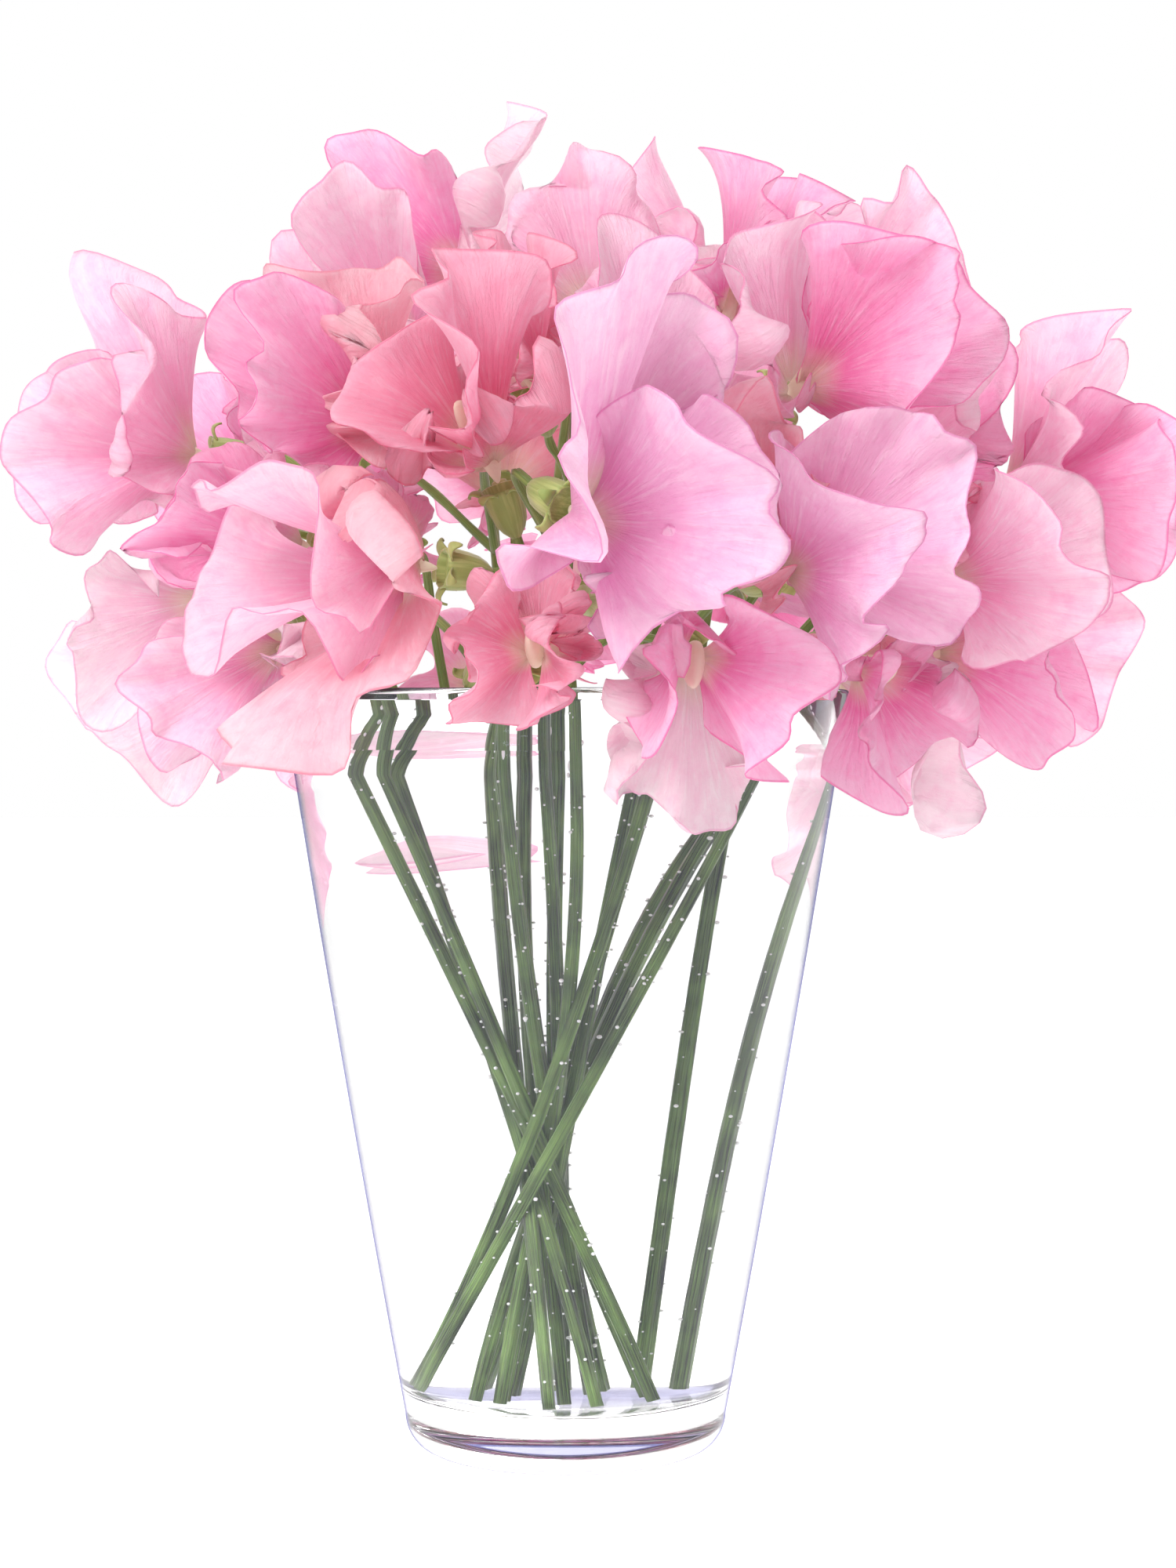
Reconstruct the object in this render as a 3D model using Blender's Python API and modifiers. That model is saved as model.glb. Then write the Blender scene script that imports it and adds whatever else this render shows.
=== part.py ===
# Cut sweet peas in a clear glass vase filled with water, in metres, +Z up.
# The origin is at the middle of the vase's foot. +X is to the right and -Y is the front.
import math
import random

import bmesh
import bpy
import numpy as np

# Vase: a plain flared tumbler of thick clear glass
VASE_HEIGHT = 0.168
FOOT_RADIUS = 0.0300
HEEL_RADIUS = 0.0358
HEEL_HEIGHT = 0.0075
MOUTH_RADIUS = 0.0630
BELLY_SWELL = 0.0006
WAIST_LEVEL = 0.090
WALL = 0.0026
FLOOR = 0.0130
FLOOR_FILLET = 0.0040
VASE_SIDES = 36
GAP = 0.0003

# Water
WATER_LEVEL = 0.1645

# Stems, pedicels (flower stalks) and calyxes
STEM_RADIUS = 0.00155
STEM_TIP_RADIUS = 0.00115
PEDICEL_RADIUS = 0.00105
STEM_CLEARANCE = 0.0013
BLOOM_CLEARANCE = 0.0008
GLASS_CLEARANCE = 0.0016
MOUTH_CLEARANCE = 0.0070
STEM_HOLE_RADIUS = 0.00215
FOOT_LEVEL = 0.0138
CROSSING_LEVEL = 0.160
SPREAD_ROUNDS = 160
CALYX_LENGTH = 0.0110
CALYX_RADIUS = 0.0042
CALYX_BASE_RADIUS = 0.0016
SEPAL_REACH = 0.0074
SEPAL_DROP = 0.0022
VALLEY_RADIUS = 0.0038
SEPALS = 5
STEM_PARTS = (0, 0.24, 0.48, 0.70, 0.88)
NECK_PARTS = (0, 0.25, 0.5, 0.75)
PEDICEL_PARTS = (0.35, 0.68)
FIRST_NODE = 4
STEM_END = 0.005
PEDICEL_END = 0.004
SUNK = 0.0015

# One bloom of size 1: the standard (large upright petal), two wings and the keel
STANDARD_WIDTH = 0.0300
STANDARD_HEIGHT = 0.0440
STANDARD_ANGLES = (0, 25, 50, 75, 100, 126)
STANDARD_REACH = (0.0425, 0.0470, 0.0440, 0.0365, 0.0265, 0.0150)
WING_LENGTH = 0.0330
WING_HEIGHT = 0.0210
WING_ANGLES = (-86, -56, -26, 2, 30, 56, 80)
WING_REACH = (0.0115, 0.0265, 0.0345, 0.0365, 0.0360, 0.0290, 0.0130)
KEEL_LENGTH = 0.0175
KEEL_HEIGHT = 0.0080
KEEL_WIDTH = 0.0046
CLAW_DEPTH = 0.0018
TRUMPET_DEPTH = 0.0022
WING_ROOT = 0.0044
WING_SIDE = 0.0009
WING_CLAW = 0.0036
WING_GAP = 0.0018
CLAW_RADIUS = 0.0034
PETAL_THICKNESS = 0.0009
FOLD_SWING = 0.0070
CRISPNESS = 0.94
FOLD_PACE = 0.95
FOLD_DRIFT = 0.7
DRIFT_PACE = 1.7
FOLD_EASE = 1.25
LONG_WAVE = 0.0026
LONG_WAVE_PACE = 1.9
LONG_WAVE_EASE = 3
SWELL = 0.0018
SWELL_ROUND_PACE = 1.3
SWELL_OUTWARD_PACE = 2.6
STANDARD_WAVES = 5.6
WING_WAVES = 5.0
BAY = 0.130
SMALL_BAY = 0.030
SMALL_BAY_PACE = 7.3
BAY_EASE = 1.5
NOTCH_DEPTH = 0.07
NOTCH_ANGLE = 0.16
BACK_LEAN = math.radians(14)
CREASE_SHARE = 0.15
ROLL_START = 0.5
ROLL_LIMIT = 1.2
TILT_SHARE = 0.3
BLOOM_MIDDLE = 0.0130

# Petal meshes: the number of steps round each ring, from the claw to the margin
STANDARD_RINGS = (4, 8)
WING_RINGS = (3, 5)

# Room round each bloom
PETAL_MARGIN = 0.00080
WAVE_ROOM = 0.0046
SMALLEST_REACH = 0.0030
NEIGHBOUR_REACH = 0.0900
LEAST_SHARE = 0.34
CLAW_ROOM = 0.0045
FORM_KNEE = 0.65
EDGE_KNEE = 0.9
CORNER_POWER = 10
CLAW_EASE = 0.0015
CLOUD_GRAIN = 2e-5
LEAST_FACING = 0.6
BLOOM_CORE = 0.0110
HEART_REACH = 0.0050

SEED = 41

# Forms of a bloom. Angles in degrees. lean: how far the standard starts out from straight ahead.
# reflex: how far its midrib turns back. cup: how far its sides come forward.
# crease: the fold at the midrib. roll_left and roll_right: how far its side margins roll forward.
# spread, bow, flare, curl, pitch: the wings' opening, bend, lean, curl and dip.
FORMS = {
    "open": dict(lean=68, reflex=34, cup=-14, crease=12, roll_left=-26, roll_right=-12,
                 spread=13, bow=12, flare=8, curl=20, pitch=-2),
    "hooded": dict(lean=62, reflex=4, cup=14, crease=4, roll_left=18, roll_right=-30,
                   spread=6, bow=12, flare=-10, curl=-6, pitch=4),
    "swept": dict(lean=84, reflex=44, cup=-22, crease=-4, roll_left=-32, roll_right=-22,
                  spread=18, bow=16, flare=24, curl=34, pitch=-8),
    "half": dict(lean=64, reflex=30, cup=6, crease=36, roll_left=-54, roll_right=-24,
                 spread=8, bow=10, flare=-4, curl=8, pitch=4),
    "folded": dict(lean=66, reflex=30, cup=0, crease=52, roll_left=-34, roll_right=-60,
                   spread=8, bow=8, flare=-4, curl=6, pitch=0),
}

# Sprays: where the cut end stands on the vase's floor and where the stem passes the mouth
SPRAYS = [
    ((0.013, 0.004), (-0.034, -0.008)),
    ((0.016, -0.010), (-0.038, 0.010)),
    ((0.006, -0.018), (-0.027, 0.032)),
    ((0.004, 0.010), (-0.017, -0.012)),
    ((0.000, -0.012), (-0.014, 0.020)),
    ((-0.004, 0.016), (-0.002, -0.002)),
    ((-0.009, 0.008), (0.011, -0.014)),
    ((-0.012, -0.014), (0.012, 0.026)),
    ((0.010, 0.022), (0.026, 0.006)),
    ((-0.022, 0.008), (0.024, -0.024)),
    ((0.016, 0.016), (0.037, 0.010)),
    ((-0.026, -0.002), (0.036, -0.014)),
    ((-0.008, 0.024), (0.009, -0.034)),
    ((-0.001, 0.026), (-0.005, -0.024)),
    ((0.005, 0.018), (-0.018, -0.030)),
    ((-0.003, -0.024), (-0.010, 0.040)),
    ((-0.018, -0.010), (0.028, 0.034)),
    ((-0.010, -0.006), (0.018, 0.044)),
]

# Blooms: spray, the calyx's mouth, facing, up, size and form, lowest bloom of a spray first
BLOOMS = [
    (0, (-0.054, -0.024, 0.198), (-0.90, -0.40, 0.10), (0.0, -0.2, 1.0), 1.02, "half"),
    (0, (-0.078, -0.008, 0.219), (-1.00, -0.22, 0.00), (0.0, -0.3, 1.0), 1.03, "folded"),
    (1, (-0.074, 0.006, 0.190), (-0.90, 0.10, -0.30), (-0.2, 0.1, 1.0), 1.05, "swept"),
    (1, (-0.062, 0.030, 0.210), (-0.65, 0.60, 0.35), (0.3, 0.1, 1.0), 1.10, "open"),
    (2, (-0.048, 0.058, 0.174), (-0.50, 0.78, -0.35), (0.0, 0.3, 1.0), 1.14, "hooded"),
    (2, (-0.070, 0.038, 0.179), (-0.85, 0.45, -0.25), (-0.1, 0.1, 1.0), 1.20, "swept"),
    (2, (-0.041, 0.057, 0.202), (-0.45, 0.85, 0.20), (0.0, -0.2, 1.0), 1.18, "open"),
    (3, (-0.034, -0.040, 0.222), (-0.86, -0.45, 0.12), (0.2, -0.1, 1.0), 1.16, "half"),
    (3, (-0.031, 0.004, 0.240), (-0.60, -0.15, 0.65), (0.5, 0.1, 0.7), 1.09, "swept"),
    (4, (-0.044, 0.036, 0.226), (-0.50, 0.65, 0.50), (0.2, -0.4, 0.8), 1.10, "open"),
    (4, (-0.017, 0.030, 0.262), (-0.85, -0.05, 0.30), (0.1, 0.1, 1.0), 1.10, "open"),
    (5, (-0.006, -0.026, 0.231), (-0.20, -0.66, 0.68), (0.2, 0.2, 0.8), 0.84, "hooded"),
    (5, (0.006, 0.002, 0.250), (0.10, 0.92, 0.25), (-0.1, -0.2, 1.0), 1.12, "open"),
    (6, (0.017, -0.042, 0.223), (-0.42, -0.52, 0.74), (0.6, 0.3, 0.6), 1.00, "half"),
    (6, (0.034, -0.006, 0.245), (0.30, -0.20, 0.92), (0.0, 0.8, 0.3), 0.96, "hooded"),
    (7, (0.030, 0.062, 0.226), (0.25, 0.80, 0.50), (0.0, -0.4, 0.9), 1.18, "open"),
    (7, (0.036, 0.032, 0.252), (0.10, 0.50, 0.85), (0.0, -0.8, 0.5), 1.18, "swept"),
    (8, (0.066, -0.019, 0.213), (0.80, 0.32, 0.10), (0.0, 0.0, 1.0), 1.20, "open"),
    (8, (0.056, 0.020, 0.246), (0.72, 0.10, 0.62), (-0.5, 0.0, 0.8), 1.02, "swept"),
    (9, (0.043, -0.055, 0.191), (0.52, -0.82, 0.12), (-0.35, -0.15, 1.0), 1.32, "hooded"),
    (9, (0.045, -0.045, 0.228), (0.74, -0.56, 0.30), (-0.3, -0.1, 1.0), 1.16, "hooded"),
    (10, (0.084, 0.026, 0.182), (0.90, 0.38, -0.20), (0.0, 0.2, 1.0), 1.14, "open"),
    (10, (0.094, 0.004, 0.211), (0.95, -0.30, -0.12), (0.2, 0.2, 1.0), 1.05, "half"),
    (11, (0.058, -0.038, 0.174), (0.62, -0.68, -0.38), (0.2, -0.4, 0.8), 0.96, "swept"),
    (11, (0.074, -0.017, 0.176), (0.95, -0.28, 0.05), (0.1, 0.3, -0.9), 1.07, "open"),
    (11, (0.074, -0.040, 0.190), (0.85, -0.50, 0.10), (0.0, -0.2, 1.0), 0.96, "hooded"),
    (12, (0.024, -0.072, 0.175), (0.20, -0.96, -0.15), (-0.25, -0.1, -0.9), 0.98, "open"),
    (12, (0.001, -0.082, 0.203), (0.62, -0.62, -0.40), (0.3, -0.2, 1.0), 1.34, "half"),
    (13, (-0.004, -0.070, 0.174), (-0.20, -0.95, 0.05), (0.0, -0.1, 1.0), 0.80, "open"),
    (13, (-0.013, -0.060, 0.209), (-0.30, -0.30, 0.90), (-0.5, -0.8, 0.1), 1.20, "half"),
    (14, (-0.056, -0.022, 0.180), (-0.80, -0.30, -0.50), (-0.3, -0.2, 0.8), 1.00, "open"),
    (14, (-0.025, -0.063, 0.192), (-0.92, -0.34, 0.10), (0.1, -0.75, -0.35), 1.36, "folded"),
    (15, (-0.022, 0.072, 0.170), (-0.20, 0.72, -0.60), (0.0, 0.5, 0.7), 1.14, "swept"),
    (15, (0.004, 0.076, 0.190), (0.05, 1.00, -0.05), (0.0, -0.1, 1.0), 1.20, "open"),
    (15, (-0.015, 0.059, 0.215), (-0.15, 0.90, 0.40), (0.0, -0.4, 0.9), 1.23, "hooded"),
    (16, (0.040, 0.066, 0.194), (0.42, 0.88, 0.05), (0.0, -0.1, 1.0), 1.20, "swept"),
    (16, (0.066, 0.042, 0.204), (0.78, 0.60, 0.15), (0.0, -0.1, 1.0), 1.20, "folded"),
    (17, (0.028, 0.070, 0.169), (0.30, 0.80, -0.50), (0.0, 0.4, 0.8), 1.10, "open"),
    (17, (0.062, 0.049, 0.172), (0.72, 0.62, -0.30), (0.0, 0.2, 1.0), 1.14, "half"),
]


def unit(vectors):
    """Vectors of length one."""
    vectors = np.asarray(vectors, float)
    return vectors / np.linalg.norm(vectors, axis=-1, keepdims=True)


def smooth_through(angle, knots, values):
    """A smooth value at each angle, through values at evenly or unevenly spaced knots."""
    knots = np.asarray(knots, float)
    values = np.asarray(values, float)
    slopes = np.gradient(values, knots)
    place = np.clip(np.searchsorted(knots, angle) - 1, 0, len(knots) - 2)
    width = knots[place + 1] - knots[place]
    part = (angle - knots[place]) / width
    rise = part * part * (3 - 2 * part)
    return (values[place] * (1 - rise) + values[place + 1] * rise
            + slopes[place] * width * part * (1 - part) ** 2
            - slopes[place + 1] * width * part * part * (1 - part))


def walk(length, turn):
    """How far ahead and aside one gets along a curve whose heading at each distance is turn()."""
    steps = 14
    ahead = np.zeros_like(length)
    aside = np.zeros_like(length)
    for step in range(steps):
        heading = turn(length * (step + 0.5) / steps)
        ahead += np.cos(heading) * length / steps
        aside += np.sin(heading) * length / steps
    return ahead, aside


class Bloom:
    """One sweet pea flower: where it sits, how it faces and the form of its petals."""

    def __init__(self, index, row):
        spray, mouth, facing, up, size, form = row
        draw = random.Random(SEED + index)
        self.name = "bloom_%02d" % (index + 1)
        self.spray = spray
        self.mouth = np.array(mouth)
        self.forward = unit(facing)
        up = np.array(up) - np.dot(up, self.forward) * self.forward
        self.up = unit(up)
        self.side = np.cross(self.forward, self.up)
        self.size = size
        self.middle = self.mouth + self.forward * BLOOM_MIDDLE * size
        self.form = {}
        for key, value in FORMS[form].items():
            self.form[key] = math.radians(value + draw.uniform(-5, 5))
        self.phases = [draw.uniform(0, 2 * math.pi) for _ in range(12)]
        self.planes = []

    def standard(self, angle, part):
        """Points of the standard at angles from its midrib and parts of its reach."""
        form = self.form
        reach = smooth_through(np.abs(np.degrees(angle)), STANDARD_ANGLES, STANDARD_REACH)
        notch = 1 - NOTCH_DEPTH * np.exp(-(angle / NOTCH_ANGLE) ** 2)
        radius = self.size * part * reach * notch
        across = radius * np.sin(angle)
        along = radius * np.cos(angle)
        width = STANDARD_WIDTH * self.size
        roll = np.where(across > 0, form["roll_right"], form["roll_left"])

        def side_turn(distance):
            edge = np.clip((distance / width - ROLL_START) / (1 - ROLL_START), 0, ROLL_LIMIT)
            return (form["crease"] * (1 - np.exp(-distance / (CREASE_SHARE * width)))
                    + form["cup"] * distance / width + roll * edge * edge)

        outward, lift = walk(np.abs(across), side_turn)
        height = STANDARD_HEIGHT * self.size

        def back_turn(distance):
            return form["lean"] + BACK_LEAN + form["reflex"] * distance / height

        ahead, rise = walk(along, back_turn)
        heading = back_turn(along)
        open_out = 1 - np.exp(-radius / CLAW_RADIUS)
        forward = CLAW_DEPTH + TRUMPET_DEPTH * open_out + ahead + lift * np.sin(heading)
        upward = rise - lift * np.cos(heading)
        sideways = np.sign(across) * outward
        return self.place(forward, sideways, upward)

    def wing(self, angle, part, hand):
        """Points of a wing, on the side that hand says, at angles from its long axis."""
        form = self.form
        reach = smooth_through(np.degrees(angle), WING_ANGLES, WING_REACH)
        radius = self.size * part * reach
        along = radius * np.cos(angle)
        across = radius * np.sin(angle)
        length = WING_LENGTH * self.size
        height = WING_HEIGHT * self.size

        def yaw(distance):
            return form["spread"] + form["bow"] * distance / length

        ahead, outward = walk(along, yaw)
        heading = yaw(along)

        def tilt(distance):
            upper = 0.5 + 0.5 * np.tanh(distance / (TILT_SHARE * height))
            return form["flare"] * upper + form["curl"] * distance / height

        rise, lean = walk(across, tilt)
        forward = ahead - 0.3 * lean * np.sin(heading)
        sideways = outward + lean * np.cos(heading)
        dip = form["pitch"]
        open_out = 1 - np.exp(-radius / CLAW_RADIUS)
        ahead = WING_ROOT + WING_CLAW * open_out + forward * math.cos(dip) - rise * math.sin(dip)
        return self.place(ahead, hand * (WING_SIDE + WING_GAP * open_out + sideways),
                          rise * math.cos(dip) + forward * math.sin(dip))

    def around(self, forward, radius, turn):
        """A point at a distance from the bloom's axis, a part of a turn round from its top."""
        angle = 2 * math.pi * turn
        return (self.mouth + self.forward * forward
                + radius * (math.cos(angle) * self.up + math.sin(angle) * self.side))

    def bodies(self):
        """Rods that stand for the calyx, its sepals and the bloom's heart, the last one soft."""
        base = self.mouth - self.forward * CALYX_LENGTH
        star = self.mouth - self.forward * SEPAL_DROP
        heart = self.forward * HEART_REACH
        return [(base, self.mouth - self.forward * GAP, CALYX_RADIUS + GAP, self, False),
                (star, star + self.forward * GAP, SEPAL_REACH + GAP, self, False),
                (self.middle - heart, self.middle + heart, BLOOM_CORE, self, True)]

    def place(self, forward, sideways, upward):
        return (self.mouth + np.multiply.outer(forward, self.forward)
                + np.multiply.outer(sideways, self.side) + np.multiply.outer(upward, self.up))

    def folds(self, angle, phases, count):
        """The crisp folds that run out from the claw, as a number from -1 to 1."""
        drift = FOLD_DRIFT * np.sin(DRIFT_PACE * angle + phases[2])
        turn = FOLD_PACE * count * angle + phases[1] + drift
        return np.arcsin(CRISPNESS * np.sin(turn)) / math.asin(CRISPNESS)

    def lobes(self, angle, part, phases, count):
        """Parts of the reach where the margin comes to a corner at each fold and swings in between."""
        bays = (BAY * (1 - self.folds(angle, phases, count) ** 2)
                + SMALL_BAY * (1 + np.sin(SMALL_BAY_PACE * angle + phases[1])))
        return part * (1 - bays * part ** BAY_EASE)

    def waves(self, angle, part, phases, count):
        """How far the blade swings to either side of its smooth form, growing towards the margin."""
        first, _, third = phases
        fold = self.folds(angle, phases, count) * part ** FOLD_EASE
        long_wave = np.sin(LONG_WAVE_PACE * count * angle + first) * part ** LONG_WAVE_EASE
        swell = (np.sin(SWELL_ROUND_PACE * angle + third)
                 * np.sin(SWELL_OUTWARD_PACE * part + first) * part)
        return self.size * (FOLD_SWING * fold + LONG_WAVE * long_wave + SWELL * swell)

    def petals(self):
        """The three blades: their angles' range, rings, surface, wave phases and wave count."""
        top = math.radians(STANDARD_ANGLES[-1])
        low = math.radians(WING_ANGLES[0])
        high = math.radians(WING_ANGLES[-1])
        yield (-top, top), STANDARD_RINGS, self.standard, self.phases[0:3], STANDARD_WAVES
        for hand in (1, -1):
            yield ((low, high), WING_RINGS, lambda a, p, h=hand: self.wing(a, p, h),
                   self.phases[4 + hand:7 + hand], WING_WAVES)

    def cloud(self):
        """A loose sample of the bloom's points as it would open with nothing beside it."""
        found = []
        for span, _, surface, _, _ in self.petals():
            angle, part = np.meshgrid(np.linspace(*span, 9), (0.3, 0.55, 0.8, 1.0))
            found.append(surface(angle.ravel(), part.ravel()))
        return self.ahead_of_calyx(np.vstack(found))

    def ahead_of_calyx(self, points):
        """Points kept in front of the calyx's mouth, eased rather than cut."""
        least = GAP + PETAL_THICKNESS / 2 + 0.0001
        ease = CLAW_EASE
        ahead = (points - self.mouth) @ self.forward
        low = ahead < least + ease
        eased = least + ease * np.exp((np.minimum(ahead, least + ease) - least - ease) / ease)
        return points + np.multiply.outer(np.where(low, eased - ahead, 0), self.forward)

    def held(self, points, room, knee):
        """Points drawn towards the bloom's middle, so that all stay inside its planes."""
        normals = np.array([normal for normal, _ in self.planes])
        reaches = np.maximum([reach - room for _, reach in self.planes], SMALLEST_REACH)
        offset = points - self.middle
        distance = np.maximum(np.linalg.norm(offset, axis=-1), 1e-9)
        nearness = np.maximum(offset @ normals.T / reaches, 0)
        used = (nearness ** CORNER_POWER).sum(axis=-1) ** (1 / CORNER_POWER)
        rest = 1 - knee
        eased = knee + rest * (1 - np.exp(-(np.maximum(used, knee) - knee) / rest))
        scale = np.where(used > knee, eased / np.maximum(used, 1e-9), 1)
        return self.middle + offset * scale[..., None]

    def blade(self, surface, angle, part, phases, count):
        """Final points of a blade: its form, fitted in its room, then waved and fitted again."""
        def fitted(a, p):
            return self.held(self.ahead_of_calyx(surface(a, p)), WAVE_ROOM, FORM_KNEE)

        small = 0.01
        inner = self.lobes(angle, part, phases, count)
        here = fitted(angle, inner)
        normal = np.cross(fitted(angle + small, inner) - fitted(angle - small, inner),
                          fitted(angle, inner + small) - fitted(angle, inner - small))
        size = np.maximum(np.linalg.norm(normal, axis=-1, keepdims=True), 1e-12)
        swing = self.waves(angle, part, phases, count)[..., None]
        waved = self.ahead_of_calyx(here + normal / size * swing)
        return self.held(waved, 0, EDGE_KNEE)


def parting_plane(one, other):
    """The plane that best parts two blooms' clouds, as its normal and place, by Fisher's rule."""
    first, second = one.cloud(), other.cloud()
    spread = np.cov(first.T) + np.cov(second.T) + np.eye(3) * CLOUD_GRAIN
    normal = unit(np.linalg.solve(spread, second.mean(axis=0) - first.mean(axis=0)))
    between = other.middle - one.middle
    apart = np.linalg.norm(between)
    while normal @ between < LEAST_FACING * apart:
        normal = unit(normal + 0.2 * between / apart)
    low = one.middle @ normal
    high = other.middle @ normal
    first_half = (first @ normal).std()
    second_half = (second @ normal).std()
    middle_one, middle_other = (first @ normal).mean(), (second @ normal).mean()
    place = middle_one + (middle_other - middle_one) * first_half / (first_half + second_half)
    keep = LEAST_SHARE * (high - low)
    floor = max(low + keep, one.mouth @ normal + CLAW_ROOM)
    ceiling = min(high - keep, other.mouth @ normal - CLAW_ROOM)
    if floor > ceiling:
        return normal, (floor + ceiling) / 2
    return normal, min(max(place, floor), ceiling)


def outer_radius(height):
    """The vase's outer radius at a height above its heel."""
    part = (height - HEEL_HEIGHT) / (VASE_HEIGHT - HEEL_HEIGHT)
    return HEEL_RADIUS + (MOUTH_RADIUS - HEEL_RADIUS) * part + 4 * BELLY_SWELL * part * (1 - part)


def inner_radius(height):
    return outer_radius(height) - WALL


def arc(centre, radius, start, end, steps):
    """Points of an arc in the profile's plane, angles in degrees from +X towards +Z."""
    return [(centre[0] + radius * math.cos(math.radians(start + (end - start) * step / steps)),
             centre[1] + radius * math.sin(math.radians(start + (end - start) * step / steps)))
            for step in range(steps + 1)]


def vase_profile():
    """The vase's half section, from the middle of the inner floor over the rim to the foot."""
    lip = WALL / 2
    top = VASE_HEIGHT - lip
    fillet = (inner_radius(FLOOR + FLOOR_FILLET) - FLOOR_FILLET, FLOOR + FLOOR_FILLET)
    heel = HEEL_RADIUS - FOOT_RADIUS
    inside = [(0, FLOOR)] + arc(fillet, FLOOR_FILLET, -90, 0, 2)
    inside.append((inner_radius(WAIST_LEVEL), WAIST_LEVEL))
    rim = arc((MOUTH_RADIUS - lip, top), lip, 180, 0, 3)
    outside = [(outer_radius(WAIST_LEVEL), WAIST_LEVEL)]
    foot = arc((FOOT_RADIUS, HEEL_HEIGHT), heel, 0, -90, 2)
    foot = [(x, max(0, HEEL_HEIGHT + (z - HEEL_HEIGHT) * HEEL_HEIGHT / heel)) for x, z in foot]
    return inside + rim + outside + foot + [(0, 0)]


def water_profile():
    """The water's half section, a gap inside the glass, from its surface down to the floor."""
    fillet = (inner_radius(FLOOR + FLOOR_FILLET) - FLOOR_FILLET, FLOOR + FLOOR_FILLET)
    bottom = arc(fillet, FLOOR_FILLET - GAP, 0, -90, 2)
    side = [(inner_radius(level) - GAP, level) for level in (WATER_LEVEL, WAIST_LEVEL)]
    return [(0, WATER_LEVEL)] + side + bottom + [(0, FLOOR + GAP)]


def turned(name, profile, material, collection):
    """A solid turned from a half section by a Screw modifier."""
    mesh = bpy.data.meshes.new(name)
    points = [(x, 0, z) for x, z in profile]
    mesh.from_pydata(points, [(step, step + 1) for step in range(len(points) - 1)], [])
    piece = bpy.data.objects.new(name, mesh)
    collection.objects.link(piece)
    screw = piece.modifiers.new("turn", "SCREW")
    screw.steps = VASE_SIDES
    screw.render_steps = VASE_SIDES
    screw.use_merge_vertices = True
    screw.merge_threshold = 0.00001
    mesh.materials.append(material)
    return piece


def hermite(start, start_way, end, end_way, parts):
    """Points of a smooth curve between two places, leaving and arriving along given ways."""
    part = np.asarray(parts, float)[:, None]
    square, cube = part ** 2, part ** 3
    return ((2 * cube - 3 * square + 1) * start + (cube - 2 * square + part) * start_way
            + (3 * square - 2 * cube) * end + (cube - square) * end_way)


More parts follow.
